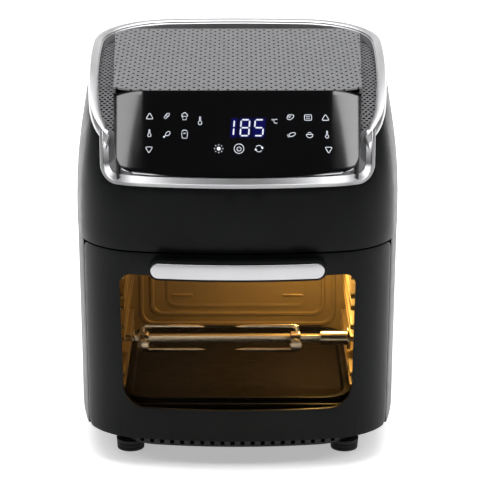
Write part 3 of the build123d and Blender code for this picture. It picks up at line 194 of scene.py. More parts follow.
# a much darker copy of the silver for the notch's recess wall: painted shade
surface("silver_painted_shade", (0.055, 0.055, 0.057), (0.075, 0.075, 0.077), (0.32, 0.38), metallic=0.9,
        tone_scale=6.0, relief=0.01)
glow("legend_white", (0.86, 0.90, 1.0), 1.6)
glow("digit_white", (0.86, 0.90, 1.0), 1.0)
glow("halo_near", (0.004, 0.004, 1.0), 0.06)
glow("halo_far", (0.004, 0.004, 1.0), 0.018)

for node_name, node_object in NODES.items():
    finish = LOOKS[SLOT_OF[node_name]]
    if not node_object.data.materials:
        node_object.data.materials.append(finish)
    for index in range(len(node_object.data.materials)):
        node_object.data.materials[index] = finish

# ---- mesh helpers


def set_smooth(mesh, degrees):
    """Smooth shading with sharp edges above an angle."""
    for polygon in mesh.polygons:
        polygon.use_smooth = True
    work = bmesh.new()
    work.from_mesh(mesh)
    for edge in work.edges:
        if len(edge.link_faces) == 2:
            edge.smooth = edge.calc_face_angle(0.0) < math.radians(degrees)
    work.to_mesh(mesh)
    work.free()


def new_piece(name, verts, faces, slot, replaces=(), body="cabinet", smooth=35.0, look=None):
    """Mesh object out of points in mm, with its finish, its body and the nodes that it stands for."""
    mesh = bpy.data.meshes.new(name)
    mesh.from_pydata([Vector(v) * MM for v in verts], [], faces)
    work = bmesh.new()
    work.from_mesh(mesh)
    bmesh.ops.recalc_face_normals(work, faces=work.faces)
    work.to_mesh(mesh)
    work.free()
    mesh.materials.append(LOOKS[look or slot])
    set_smooth(mesh, smooth)
    piece = bpy.data.objects.new(name, mesh)
    bpy.context.scene.collection.objects.link(piece)
    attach(piece, body)
    if replaces:
        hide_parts(*replaces)
    return piece


def apply_modifiers(piece):
    """Bakes the modifiers of an object into its mesh."""
    graph = bpy.context.evaluated_depsgraph_get()
    mesh = bpy.data.meshes.new_from_object(piece.evaluated_get(graph))
    piece.modifiers.clear()
    piece.data = mesh


def bevel(piece, width, segments, degrees):
    """Rounds the edges sharper than an angle, by a width in mm."""
    rounding = piece.modifiers.new("rounding", "BEVEL")
    rounding.width = width * MM
    rounding.segments = segments
    rounding.limit_method = "ANGLE"
    rounding.angle_limit = math.radians(degrees)


def thicken(piece, thickness):
    """Gives a sheet its thickness, in mm, behind its face."""
    depth = piece.modifiers.new("depth", "SOLIDIFY")
    depth.thickness = thickness * MM
    depth.offset = -1.0


def softened(node, width, look=None):
    """Visual copy of a CAD node with its hard edges rounded over."""
    work = bmesh.new()
    work.from_mesh(NODES[node].data)
    bmesh.ops.remove_doubles(work, verts=work.verts, dist=0.01 * MM)
    bmesh.ops.dissolve_limit(work, angle_limit=math.radians(0.6), verts=work.verts, edges=work.edges)
    mesh = bpy.data.meshes.new(node + "_finish")
    work.to_mesh(mesh)
    work.free()
    piece = bpy.data.objects.new(node + "_finish", mesh)
    bpy.context.scene.collection.objects.link(piece)
    bevel(piece, width, 3, 32)
    apply_modifiers(piece)
    piece.data.materials.clear()
    piece.data.materials.append(LOOKS[look or SLOT_OF[node]])
    set_smooth(piece.data, 28.0)
    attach(piece, BODY_OF[node])
    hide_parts(node)
    return piece


# ---- body outline, as the design states it
# height: half width, front, back, widest, then the radii of front, back, side, front corner, back corner
UPPER = [
    (216.0, 157.5, -151.0, 171.0, 11.0, 480.0, 900.0, 560.0, 66.0, 50.0),
    (270.0, 156.0, -149.5, 170.0, 11.0, 480.0, 900.0, 560.0, 70.0, 50.0),
    (305.0, 152.5, -146.0, 168.0, 23.0, 480.0, 900.0, 560.0, 84.0, 58.0),
    (335.0, 148.3, -142.0, 166.0, 46.0, 480.0, 900.0, 620.0, 100.0, 70.0),
    (378.0, 143.5, -135.0, 163.5, 71.0, 480.0, 900.0, 800.0, 112.0, 82.0),
]
LOWER = [
    (30.0, 154.8, -149.5, 168.5, 11.0, 480.0, 900.0, 560.0, 63.0, 47.0),
    (216.0, 157.0, -150.8, 170.6, 11.0, 480.0, 900.0, 560.0, 66.0, 50.0),
]
CREST_CENTRE = (213.5, -534.5)
CREST_RADIUS = 912.5


def crest(y):
    """Height of the arc that cuts the housing top, at depth y."""
    return CREST_CENTRE[1] + math.sqrt(CREST_RADIUS**2 - (y - CREST_CENTRE[0]) ** 2)


def hermite(heights, values, z):
    """Monotone cubic through the section values."""
    count = len(heights)
    z = min(max(z, heights[0]), heights[-1])
    gaps = [heights[i + 1] - heights[i] for i in range(count - 1)]
    rises = [(values[i + 1] - values[i]) / gaps[i] for i in range(count - 1)]
    slopes = [rises[0]]
    for i in range(1, count - 1):
        same_way = rises[i - 1] * rises[i] > 0
        slopes.append((rises[i - 1] + rises[i]) / 2 if same_way else 0.0)
    slopes.append(rises[-1])
    i = max(k for k in range(count - 1) if heights[k] <= z + 1e-9)
    t = (z - heights[i]) / gaps[i]
    at_start = (2 * t**3 - 3 * t**2 + 1) * values[i] + (t**3 - 2 * t**2 + t) * slopes[i] * gaps[i]
    at_end = (3 * t**2 - 2 * t**3) * values[i + 1] + (t**3 - t**2) * slopes[i + 1] * gaps[i]
    return at_start + at_end


def touch_centre(main, main_r, side, side_r, corner_r):
    """Centre of the corner arc that touches the main arc and the side arc from inside."""
    reach_main, reach_side = main_r - corner_r, side_r - corner_r
    dx, dy = main[0] - side[0], main[1] - side[1]
    gap = math.hypot(dx, dy)
    along = (reach_side**2 - reach_main**2 + gap**2) / (2 * gap)
    across = math.sqrt(reach_side**2 - along**2)
    turn = 1 if main[1] > side[1] else -1
    return (side[0] + (dx * along + turn * dy * across) / gap,
            side[1] + (dy * along - turn * dx * across) / gap)


ARC_CACHE = {}


def outline_arcs(table, z):
    """The five arcs of the right half of the outline at height z: (centre, radius, start, end)."""
    key = (len(table), round(z, 3))
    if key not in ARC_CACHE:
        heights = [row[0] for row in table]
        half, front_y, back_y, widest, fr, br, sr, fcr, bcr = (
            hermite(heights, [row[i] for row in table], z) for i in range(1, 10)
        )
        front, back, side = (0.0, front_y + fr), (0.0, back_y - br), (half - sr, widest)
        fc = touch_centre(front, fr, side, sr, fcr)
        bc = touch_centre(back, br, side, sr, bcr)
        turns = [-math.pi / 2]
        for a, b in ((front, fc), (side, fc), (side, bc), (back, bc)):
            turns.append(math.atan2(b[1] - a[1], b[0] - a[0]))
        turns.append(math.pi / 2)
        ARC_CACHE[key] = [
            (front, fr, turns[0], turns[1]),
            (fc, fcr, turns[1], turns[2]),
            (side, sr, turns[2], turns[3]),
            (bc, bcr, turns[3], turns[4]),
            (back, br, turns[4], turns[5]),
        ]
    return ARC_CACHE[key]


def skin(q, z, inset=0.0):
    """Point on the body skin, in mm. q runs 0 to 5 from the front middle to the back middle,
    one unit per arc, negative on the left; inset moves it inward."""
    table = LOWER if z < 215.95 else UPPER
    arcs = outline_arcs(table, z)
    step = min(int(abs(q)), 4)
    centre, radius, start, end = arcs[step]
    turn = start + (end - start) * (abs(q) - step)
    x = centre[0] + (radius - inset) * math.cos(turn)
    y = centre[1] + (radius - inset) * math.sin(turn)
    return Vector((math.copysign(1, q) * x, y, z))


def crossing(before, low, high):
    """The value between low and high at which before(value) stops being true."""
    for _ in range(40):
        middle = (low + high) / 2
        if before(middle):
            low = middle
        else:
            high = middle
    return (low + high) / 2


def on_skin(x, z, inset):
    """Point of the front half of the skin at a given x."""
    q = crossing(lambda step: skin(step, z, inset).x < abs(x), 0.0, 2.0) if abs(x) > 0.01 else 0.0
    return skin(math.copysign(q, x), z, inset)


def grid_faces(rows, columns, wrap=False):
    """Quads of a grid stored row by row."""
    faces = []
    for r in range(rows - 1):
        for c in range(columns if wrap else columns - 1):
            d = (c + 1) % columns
            faces.append((r * columns + c, r * columns + d, (r + 1) * columns + d, (r + 1) * columns + c))
    return faces


# ---- small geometry helpers


def box_mm(node):
    """A node's lowest and highest corners, in mm."""
    low_corner, high_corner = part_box(node)
    return Vector(low_corner) / MM, Vector(high_corner) / MM


def lathe(profile, axis_point, axis, segments=48):
    """Surface of revolution: profile holds (radius, along) pairs in mm."""
    axis = Vector(axis).normalized()
    side = axis.orthogonal().normalized()
    up = axis.cross(side)
    verts = []
    for radius, along in profile:
        for k in range(segments):
            turn = 2 * math.pi * k / segments
            spoke = side * math.cos(turn) + up * math.sin(turn)
            verts.append(Vector(axis_point) + axis * along + spoke * radius)
    faces = grid_faces(len(profile), segments, wrap=True)
    faces.append(tuple(range(segments)))
    faces.append(tuple(range((len(profile) - 1) * segments, len(profile) * segments)))
    return verts, faces


def join(parts):
    """One vertex list and face list out of several."""
    verts, faces = [], []
    for part_verts, part_faces in parts:
        start = len(verts)
        verts += part_verts
        faces += [tuple(start + i for i in face) for face in part_faces]
    return verts, faces


def slab(outline, place, thickness):
    """Flat plate: place maps (u, v, w) to a point, w runs from 0 to thickness."""
    count = len(outline)
    verts = [place(u, v, 0.0) for u, v in outline] + [place(u, v, thickness) for u, v in outline]
    faces = [tuple(range(count))[::-1], tuple(range(count, 2 * count))]
    for k in range(count):
        n = (k + 1) % count
        faces.append((k, n, count + n, count + k))
    return verts, faces


def arc_points(cx, cy, radius, start, end, steps=12):
    """Points of an arc, angles in degrees."""
    turns = [math.radians(start + (end - start) * k / steps) for k in range(steps + 1)]
    return [(cx + radius * math.cos(t), cy + radius * math.sin(t)) for t in turns]


def rounded_rect(half_w, half_h, radius, steps=8):
    """Closed outline, counter-clockwise from the lower right corner."""
    points = []
    for sx, sy, start in ((1, -1, -90), (1, 1, 0), (-1, 1, 90), (-1, -1, 180)):
        corner_x, corner_y = sx * (half_w - radius), sy * (half_h - radius)
        points += arc_points(corner_x, corner_y, radius, start, start + 90, steps)
    return points


# ---- softened shells
for shell, width in (
    ("upper_housing", 0.7), ("lower_housing", 0.7), ("door_shell", 0.9), ("base_pan", 0.5),
    ("handle_body", 1.4), ("cavity_liner", 1.1), ("rear_cover", 0.5), ("rear_cover_screws", 0.4),
    ("drip_tray", 0.35), ("drive_socket", 0.4), ("spit_rod", 0.5), ("cavity_front_frame", 0.4),
    ("door_inner_frame", 0.4), ("door_gasket", 0.6), ("spit_bearing", 0.4), ("hinge_brackets", 0.4),
):
    softened(shell, width)
softened("handle_face", 0.7, look="handle_silver")

# ---- silver ring round the top
RING_DEEP = 12.0                    # the inner wall reaches down to the recessed grille
RING_END_Y = -112.0
TAPER_RUN = 30.0                    # the band narrows over this length at each end
TAPER_END = 0.16                    # share of the band's width that is left at its ends
# inset from the skin and drop below the crest
RING_PROFILE = [
    (0.15, 6.4), (-0.10, 6.0), (-0.10, 1.1), (0.15, 0.45), (0.7, 0.1), (1.4, 0.0),
    (7.3, 1.1), (7.9, 1.5), (8.2, 2.4), (8.4, 3.0), (9.1, 3.3), (9.5, 4.0), (9.5, RING_DEEP + 1.5),
]


def skin_on_crest(q, drop, inset):
    """Point that lies on the crest arc lowered by drop, inset from the skin."""
    z = 350.0
    for _ in range(12):
        z = crest(skin(q, min(z, 378.0), inset).y) - drop
    return skin(q, min(z, 378.0), inset)


END_Q = crossing(lambda q: skin_on_crest(q, 0.0, 0.0).y < RING_END_Y, 0.5, 2.5)
RING_STEPS = 240
FINE_SHARE = 0.12                   # over this share, at each end, the steps start short and grow
ring_q = []
for k in range(RING_STEPS + 1):
    share = k / RING_STEPS
    eased = share if share > FINE_SHARE else share * share / FINE_SHARE * 0.5 + share * 0.5
    ring_q.append(END_Q + (5.0 - END_Q) * eased)
ring_q = ring_q + [-q for q in ring_q[-2::-1]]
ring_centre = [skin_on_crest(q, 0.0, 0.0) for q in ring_q]
run = [0.0]
for a, b in zip(ring_centre, ring_centre[1:]):
    run.append(run[-1] + (b - a).length)
ring_verts = []
for q, along in zip(ring_q, run):
    near_end = min(along, run[-1] - along) / TAPER_RUN
    band = TAPER_END + (1 - TAPER_END) * math.sin(min(near_end, 1.0) * math.pi / 2) ** 0.8
    for inset, drop in RING_PROFILE:
        ring_verts.append(skin_on_crest(q, drop, max(inset * band, -0.1)))
ring_faces = grid_faces(len(ring_q), len(RING_PROFILE))
last = (len(ring_q) - 1) * len(RING_PROFILE)
ring_faces += [tuple(range(len(RING_PROFILE))), tuple(last + i for i in range(len(RING_PROFILE)))]
new_piece("top_ring", ring_verts, ring_faces, "silver_trim", ("top_trim_ring",), smooth=40.0)

# ---- control panel surface
PANEL_LOW, PANEL_HIGH = Vector((0, -139.0, 285.6)), Vector((0, -99.0, 358.7))
PANEL_UP = (PANEL_HIGH - PANEL_LOW).normalized()
PANEL_OUT = Vector((1, 0, 0)).cross(PANEL_UP)
PANEL_RUN = (PANEL_HIGH - PANEL_LOW).length
PANEL_CENTRE = (PANEL_LOW + PANEL_HIGH) / 2
PANEL_FLAT = 80.0                   # the face is flat up to here, then rolls back
PANEL_ROLL = 62.0
PANEL_RISE = 8.5                    # the lower edge climbs this much towards its corners
PANEL_CORNER = 13.0
PANEL_HALF_LOW = 111.0              # half width at the lower edge
PANEL_WIDENS = 4.5                  # the half width grows this much towards the upper edge


def panel_half(v):
    """Half width of the panel at v up its slope."""
    return PANEL_HALF_LOW + PANEL_WIDENS * (v / PANEL_RUN + 0.5)


def panel_drop(x):
    """How far the rolled side of the face has fallen back at x."""
    over = max(abs(x) - PANEL_FLAT, 0.0)
    return PANEL_ROLL - math.sqrt(PANEL_ROLL**2 - over**2)


def panel_point(x, v, lift=0.0):
    """Place on the panel face: x to the right, v up its slope, lift outward, in mm."""
    return PANEL_CENTRE + Vector((x, 0, 0)) + PANEL_UP * v + PANEL_OUT * (lift - panel_drop(x))


def panel_low(share):
    """Lower edge of the panel at a share of its half width."""
    across = abs(share) * PANEL_HALF_LOW
    corner = max(across - (PANEL_HALF_LOW - PANEL_CORNER), 0.0)
    rounding = PANEL_CORNER - math.sqrt(max(PANEL_CORNER**2 - corner**2, 0.0))
    return -PANEL_RUN / 2 + PANEL_RISE * share * share + rounding


PANEL_COLUMNS, PANEL_ROWS = 96, 20
panel_verts = []
for j in range(PANEL_ROWS + 1):
    for i in range(PANEL_COLUMNS + 1):
        share = math.sin((i / PANEL_COLUMNS - 0.5) * math.pi)
        low_v = panel_low(share)
        v = low_v + (PANEL_RUN / 2 - low_v) * j / PANEL_ROWS
        panel_verts.append(panel_point(share * panel_half(v), v, -0.05))
panel_faces = grid_faces(PANEL_ROWS + 1, PANEL_COLUMNS + 1)
panel_face = new_piece("panel_face", panel_verts, panel_faces, "panel_gloss", ("control_panel",))
thicken(panel_face, 3.6)
bevel(panel_face, 0.7, 3, 50)
apply_modifiers(panel_face)
set_smooth(panel_face.data, 35.0)

# ---- legends and digits
HAIR = 0.36                         # width of a legend line
LEGEND_LIFT = 0.05                  # legends start this far above the panel face
LEGEND_THICK = 0.12
ICON_SIZE = 0.86


def ribbon(points, width, closed):
    """Raised line along panel points."""
    count = len(points)
    verts, faces = [], []
    for k in range(count):
        before = points[k - 1] if closed or k else points[0]
        after = points[(k + 1) % count] if closed or k < count - 1 else points[-1]
        dx, dy = after[0] - before[0], after[1] - before[1]
        size = math.hypot(dx, dy) or 1.0
        nx, ny = -dy / size * width / 2, dx / size * width / 2
        x, v = points[k]
        for side, lift in ((1, LEGEND_LIFT), (-1, LEGEND_LIFT), (-1, LEGEND_LIFT + LEGEND_THICK),
                           (1, LEGEND_LIFT + LEGEND_THICK)):
            verts.append(panel_point(x + side * nx, v + side * ny, lift))
    for k in range(count if closed else count - 1):
        a, b = 4 * k, 4 * ((k + 1) % count)
        faces += [(a + i, a + (i + 1) % 4, b + (i + 1) % 4, b + i) for i in range(4)]
    if not closed:
        faces += [(0, 1, 2, 3), tuple(4 * (count - 1) + i for i in range(4))]
    return verts, faces


def patch(points, lift, height):
    """Flat raised area on the panel face."""
    return slab(points, lambda x, v, w: panel_point(x, v, lift + w), height)


def moved(points, place, turn):
    """Legend points at their size, turned and set down at a place on the panel."""
    c, s = math.cos(math.radians(turn)), math.sin(math.radians(turn))
    return [(place[0] + (x * c - y * s) * ICON_SIZE, place[1] + (x * s + y * c) * ICON_SIZE)
            for x, y in points]


# the parts of each legend follow, drawn at a place on the panel


def line(points, place, turn=0.0, weight=1.0, closed=False):
    return ribbon(moved(points, place, turn), HAIR * weight, closed)


def loop(points, place, turn=0.0, weight=1.0):
    return line(points, place, turn, weight, closed=True)


def blob(points, place, turn=0.0):
    return patch(moved(points, place, turn), LEGEND_LIFT, LEGEND_THICK)


def arrow_icon(place, turn=0):
    corners = (arc_points(0, 2.6, 0.8, 30, 150, 5) + arc_points(-2.6, -1.9, 0.8, 150, 270, 5)
               + arc_points(2.6, -1.9, 0.8, -90, 30, 5))
    return [loop(corners, place, turn)]


def thermometer_icon(place, size=1.0):
    stem = arc_points(0, 3.8, 0.6, 0, 180, 6) + arc_points(0, -2.4, 2.0, 110, 430, 14)
    return [loop([(x * size, y * size) for x, y in stem], place)]


def drumstick_icon(place):
    meat = [(1.2 + 2.9 * math.cos(k * math.pi / 9), 1.9 * math.sin(k * math.pi / 9)) for k in range(18)]
    bone = [(-1.7, 0.0), (-3.8, 0.0)]
    knob = arc_points(-4.2, 0.0, 0.8, 0, 330, 9)
    return [loop(meat, place, 42), line(bone, place, 42), blob(knob, place, 42)]


def bone_icon(place):
    body = [(-3.2, -1.1), (2.2, -1.6), (4.0, 0.0), (2.2, 1.6), (-3.2, 1.1)]
    return [loop(body, place, 48), line([(0.2, -1.3), (0.2, 1.3)], place, 48, 0.8)]


def cake_icon(place):
    cup = [(-2.5, -0.4), (2.5, -0.4), (1.8, -4.2), (-1.8, -4.2)]
    dome = (arc_points(-1.7, 0.6, 1.5, 250, 120, 6) + arc_points(0, 2.0, 1.7, 150, 30, 8)
            + arc_points(1.7, 0.6, 1.5, 60, -70, 6))
    return [loop(cup, place), line(dome, place)]


def cup_icon(place):
    cup = [(-3.3, 2.2), (-2.5, -4.2), (2.5, -4.2), (3.3, 2.2)]
    crown = arc_points(0, 1.4, 3.4, 150, 30, 8)
    return [line(cup, place), line(crown, place), line(arc_points(0, 2.4, 1.5, 200, 340, 6), place)]


def sun_icon(place):
    rays = [line([(3.9, 0), (4.9, 0)], place, 45 * k, 1.3) for k in range(8)]
    return [blob(arc_points(0, 0, 1.9, 0, 345, 16), place)] + rays


def power_icon(place):
    return [loop(arc_points(0, 0, 5.2, 0, 350, 30), place),
            line(arc_points(0, -0.3, 2.3, 125, 415, 14), place),
            line([(0, 0.4), (0, 2.7)], place)]


def turn_icon(place):
    parts = []
    for start in (20, 200):
        parts.append(line(arc_points(0, 0, 3.6, start, start + 130, 10), place))
        parts.append(blob([(4.9, 0.3), (2.4, 0.3), (3.6, -1.8)], place, start))
    return parts


def steak_icon(place):
    rim = [((3.7 + 0.5 * math.sin(2 * t)) * math.cos(t), (2.6 + 0.4 * math.cos(3 * t)) * math.sin(t))
           for t in [k * math.pi / 12 for k in range(24)]]
    return [loop(rim, place, 15), loop(arc_points(-1.0, 0.4, 0.9, 0, 330, 10), place, 0, 0.8)]


def tray_icon(place):
    shelves = [line([(-2.3, height), (2.3, height)], place, 0, 0.7) for height in (-1.0, 0.9)]
    return [loop(rounded_rect(3.8, 3.0, 1.0, 4), place)] + shelves


def fish_icon(place):
    body = [(-4.0 * math.cos(k * math.pi / 12), 1.9 * math.sin(k * math.pi / 12)) for k in range(3, 22)]
    tail = [(-2.7, 0.0), (-4.6, 1.8), (-4.6, -1.8)]
    return [loop(body, place, 20), loop(tail, place, 20)]


def bowl_icon(place):
    bowl = [(-3.6, 0.6)] + arc_points(0, 0.6, 3.6, 180, 360, 14)
    return [loop(bowl, place), line(arc_points(0, 0.6, 2.3, 25, 155, 8), place, 0, 0.8)]


def degree_icon(place):
    return [loop(arc_points(-2.6, 1.9, 0.8, 0, 330, 9), place, 0, 0.7),
            line(arc_points(1.0, 0.0, 2.3, 50, 310, 12), place, 0, 0.9)]


icons = (
    arrow_icon((-81.2, 16.6)) + bone_icon((-65.4, 17.1)) + cake_icon((-48.9, 17.1))
    + thermometer_icon((-34.6, 12.5)) + thermometer_icon((-81.3, 0.6), 0.9) + drumstick_icon((-65.1, -0.5))
    + cup_icon((-48.8, -0.5)) + arrow_icon((-81.6, -14.8), 180)
    + sun_icon((-17.3, -14.1)) + power_icon((1.4, -14.1)) + turn_icon((19.8, -14.1))
    + steak_icon((48.9, 16.1)) + tray_icon((65.2, 15.6)) + arrow_icon((81.3, 15.3))
    + fish_icon((50.2, -0.7)) + bowl_icon((66.6, -1.1)) + thermometer_icon((82.6, -0.7), 0.9)
    + arrow_icon((84.0, -15.0), 180) + degree_icon((34.6, 12.0))
)
icon_verts, icon_faces = join(icons)
new_piece("panel_legends", icon_verts, icon_faces, "panel_gloss", look="legend_white")

DIGIT_HALF_H, DIGIT_HALF_W, DIGIT_LEAN = 7.6, 3.9, 0.07
BAR_WIDTH, BAR_GAP = 1.4, 0.55
DIGIT_LIFT, DIGIT_THICK = 0.20, 0.06
DIGITS_V = 5.8
DIGITS = ((1, -7.3), (8, 6.9), (5, 19.8))        # each figure and the x of its middle
SEGMENTS = {
    "top": ((-1, 1), (1, 1)), "middle": ((-1, 0), (1, 0)), "bottom": ((-1, -1), (1, -1)),
    "upper_left": ((-1, 0), (-1, 1)), "upper_right": ((1, 0), (1, 1)),
    "lower_left": ((-1, -1), (-1, 0)), "lower_right": ((1, -1), (1, 0)),
}
DIGIT_SHAPES = {
    1: ("upper_right", "lower_right"),
    8: tuple(SEGMENTS),
    5: ("top", "upper_left", "middle", "lower_right", "bottom"),
}


def digit(number, cx, cy):
    """Seven-segment figure made of bars with pointed ends."""
    parts = []
    for segment in DIGIT_SHAPES[number]:
        (ax, ay), (bx, by) = SEGMENTS[segment]
        a = (ax * DIGIT_HALF_W, ay * DIGIT_HALF_H)
        b = (bx * DIGIT_HALF_W, by * DIGIT_HALF_H)
        length = math.dist(a, b)
        ux, uy = (b[0] - a[0]) / length, (b[1] - a[1]) / length
        half = BAR_WIDTH / 2
        first, final = BAR_GAP, length - BAR_GAP
        bar = []
        for along, side in ((first, 0), (first + half, half), (final - half, half), (final, 0),
                            (final - half, -half), (first + half, -half)):
            x, y = a[0] + ux * along - uy * side, a[1] + uy * along + ux * side
            bar.append((cx + x + y * DIGIT_LEAN, cy + y))
        parts.append(patch(bar, DIGIT_LIFT, DIGIT_THICK))
    return parts


figures = [part for number, x in DIGITS for part in digit(number, x, DIGITS_V)]
figure_verts, figure_faces = join(figures)
new_piece("digits_lit", figure_verts, figure_faces, "display_dark", look="digit_white")


def halo(name, grow, lift, look):
    """Backlight that bleeds round each figure; the figure one has its single column on the right."""
    patches = []
    for number, x in DIGITS:
        half_w, shift = (1.0, DIGIT_HALF_W) if number == 1 else (DIGIT_HALF_W, 0.0)
        outline = rounded_rect(half_w + grow, DIGIT_HALF_H + grow, 1.8)
        centre_x = x + shift
        leaning = [(centre_x + u + v * DIGIT_LEAN, DIGITS_V + v) for u, v in outline]
        patches.append(patch(leaning, lift, 0.05))
    halo_verts, halo_faces = join(patches)
    new_piece(name, halo_verts, halo_faces, "display_dark", look=look)


halo("digit_halo_far", 2.2, 0.02, "halo_far")
halo("digit_halo_near", 1.1, 0.09, "halo_near")

# ---- silver trim round the notch
NOTCH_LOW, NOTCH_HALF, NOTCH_HALF_UP, NOTCH_UP = 277.7, 126.9, 128.6, 316.0
NOTCH_ROUND = 15.0
NOTCH_FLARE = (NOTCH_HALF_UP - NOTCH_HALF) / (NOTCH_UP - NOTCH_LOW)
TRIM_TOP = 321.5                    # the trim's two ends
PANEL_RAIL_TOP = 4.0                # where its inner edge starts, up the panel's slope
SIDE_STEPS, CORNER_STEPS, FRONT_STEPS = 22, 10, 40


def both_halves(points):
    """Whole outline from its right half, which runs down the side and in to the middle."""
    return [(-x, z) for x, z in points] + [(x, z) for x, z in points[-2::-1]]


def notch_rail(inward):
    """Outline of the notch, moved inward, from its top left round to its top right."""
    low = NOTCH_LOW + inward
    half = NOTCH_HALF - inward
    radius = max(NOTCH_ROUND - inward, 2.0)
    points = []
    corner_x, corner_z = half - radius, low + radius
    for k in range(SIDE_STEPS + 1):
        z = TRIM_TOP + (corner_z - TRIM_TOP) * k / SIDE_STEPS
        points.append((half + NOTCH_FLARE * (z - NOTCH_LOW), z))
    for k in range(1, CORNER_STEPS + 1):
        turn = math.pi / 2 * k / CORNER_STEPS
        points.append((corner_x + radius * math.cos(turn) + NOTCH_FLARE * radius * (1 - math.sin(turn)),
                       corner_z - radius * math.sin(turn)))
    for k in range(1, FRONT_STEPS + 1):
        points.append((corner_x * (1 - k / FRONT_STEPS), low))
    return both_halves(points)


def panel_rail(gap):
    """Outline of the panel's sides and lower edge, with as many points as a notch rail."""
    corner_x, corner_v = PANEL_HALF_LOW - PANEL_CORNER, -PANEL_RUN / 2 + PANEL_RISE + PANEL_CORNER
    radius = PANEL_CORNER + gap
    points = []
    for k in range(SIDE_STEPS + 1):
        v = PANEL_RAIL_TOP + (corner_v - PANEL_RAIL_TOP) * k / SIDE_STEPS
        points.append((panel_half(v) + gap, v))
    for k in range(1, CORNER_STEPS + 1):
        turn = math.pi / 2 * k / CORNER_STEPS
        points.append((corner_x + radius * math.cos(turn), corner_v - radius * math.sin(turn)))
    for k in range(1, FRONT_STEPS + 1):
        x = corner_x * (1 - k / FRONT_STEPS)
        points.append((x, -PANEL_RUN / 2 + PANEL_RISE * (x / PANEL_HALF_LOW) ** 2 - gap))
    return both_halves(points)


def strip(rows):
    """Surface through rows of points."""
    return [point for row in rows for point in row], grid_faces(len(rows), len(rows[0]))


trim_rows = []
for inward, inset in ((-0.1, 0.6), (0.0, -0.3), (0.45, -0.75), (2.9, -0.75), (3.4, -0.4), (3.6, 0.4),
                      (8.6, 3.4)):
    trim_rows.append([on_skin(x, z, inset) for x, z in notch_rail(inward)])
RIM_ROWS = len(trim_rows)           # the recess wall joins the last of these to the next row
for gap, lift in ((1.5, -2.2), (0.5, -1.6), (0.1, -1.9), (0.05, -3.4)):
    trim_rows.append([panel_point(x, v, lift) for x, v in panel_rail(gap)])
trim_verts, trim_faces = join([strip(trim_rows[:RIM_ROWS]), strip(trim_rows[RIM_ROWS:])])
# the notch trim takes the darker copy of the silver, with shade painted in
new_piece("notch_trim", trim_verts, trim_faces, "silver_trim", ("front_trim",), smooth=13.0,
          look="notch_silver_painted_shade")
# the recess wall between the trim and the panel gets the darkest copy of the silver: painted shade
wall_verts, wall_faces = strip(trim_rows[RIM_ROWS - 1:RIM_ROWS + 1])
new_piece("notch_wall", wall_verts, wall_faces, "silver_trim", smooth=40.0, look="silver_painted_shade")

# ---- perforated sheets
HOLE_STEPS = 8
SHEET_THICK = 1.6


def perforated(cells, place, hole_w, hole_l, pitch_x, pitch_y):
    """Sheet of brick-laid cells, each with one rounded hole; place maps (x, y) to a point."""
    verts, faces, known = [], [], {}

    def corner(x, y):
        key = (round(x, 3), round(y, 3))
        if key not in known:
            known[key] = len(verts)
            verts.append(place(x, y))
        return known[key]

    for cx, cy in cells:
        rim = [corner(cx + sx * pitch_x / 2, cy + sy * pitch_y / 2)
               for sx, sy in ((1, 0), (1, 1), (0, 1), (-1, 1), (-1, 0), (-1, -1), (0, -1), (1, -1))]
        hole = []
        for k in range(HOLE_STEPS):
            turn = 2 * math.pi * k / HOLE_STEPS
            hole.append(len(verts))
            verts.append(place(cx + hole_w / 2 * math.cos(turn), cy + hole_l / 2 * math.sin(turn)))
        for k in range(HOLE_STEPS):
            n = (k + 1) % HOLE_STEPS
            faces.append((rim[k], rim[n], hole[n], hole[k]))
    return verts, faces


def sheet_piece(name, verts, faces, replaces, cuts=()):
    """Perforated sheet with its thickness; cuts are planes (point, normal) whose far side is dropped."""
    piece = new_piece(name, verts, faces, "grille_grey", replaces)
    work = bmesh.new()
    work.from_mesh(piece.data)
    for point, normal in cuts:
        bmesh.ops.bisect_plane(work, geom=work.verts[:] + work.edges[:] + work.faces[:],
                               plane_co=point * MM, plane_no=normal, clear_outer=True)
    if sum(face.normal.z for face in work.faces) < 0:
        bmesh.ops.reverse_faces(work, faces=work.faces)
    work.to_mesh(piece.data)
    work.free()
    thicken(piece, SHEET_THICK)
    apply_modifiers(piece)
    set_smooth(piece.data, 30.0)


POD_FRONT, POD_REAR = Vector((0, -99.0, 358.7)), Vector((0, 121.0, 373.8))
pod_along = (POD_REAR - POD_FRONT).normalized()
pod_up = Vector((1, 0, 0)).cross(pod_along)
pod_run = (POD_REAR - POD_FRONT).length
POD_HALF_FRONT = 115.5
POD_WIDENS = 9.5                    # the half width grows this much from the pod's front to its rear
POD_CORNER = 24.0
TOP_PITCH_X, TOP_PITCH_Y = 9.0, 6.6


def pod_half(y):
    """Half width of the pod at depth y."""
    return POD_HALF_FRONT + POD_WIDENS * (y - POD_FRONT.y) / (POD_REAR.y - POD_FRONT.y)


def on_pod(x, along):
    """Point just under the pod's flat top, along its slope from the front."""
    return POD_FRONT + Vector((x, 0, 0)) + pod_along * along + pod_up * -0.05


top_cells = []
for row in range(int(pod_run / TOP_PITCH_Y) + 1):
    for column in range(-15, 16):
        top_cells.append(((column + 0.5 * (row % 2)) * TOP_PITCH_X, 3.3 + row * TOP_PITCH_Y))
POD_CORNER_Y = POD_REAR.y - POD_CORNER
POD_CORNER_X = pod_half(POD_CORNER_Y) - POD_CORNER
top_verts, top_faces = perforated(top_cells, on_pod, 2.5, 4.2, TOP_PITCH_X, TOP_PITCH_Y)
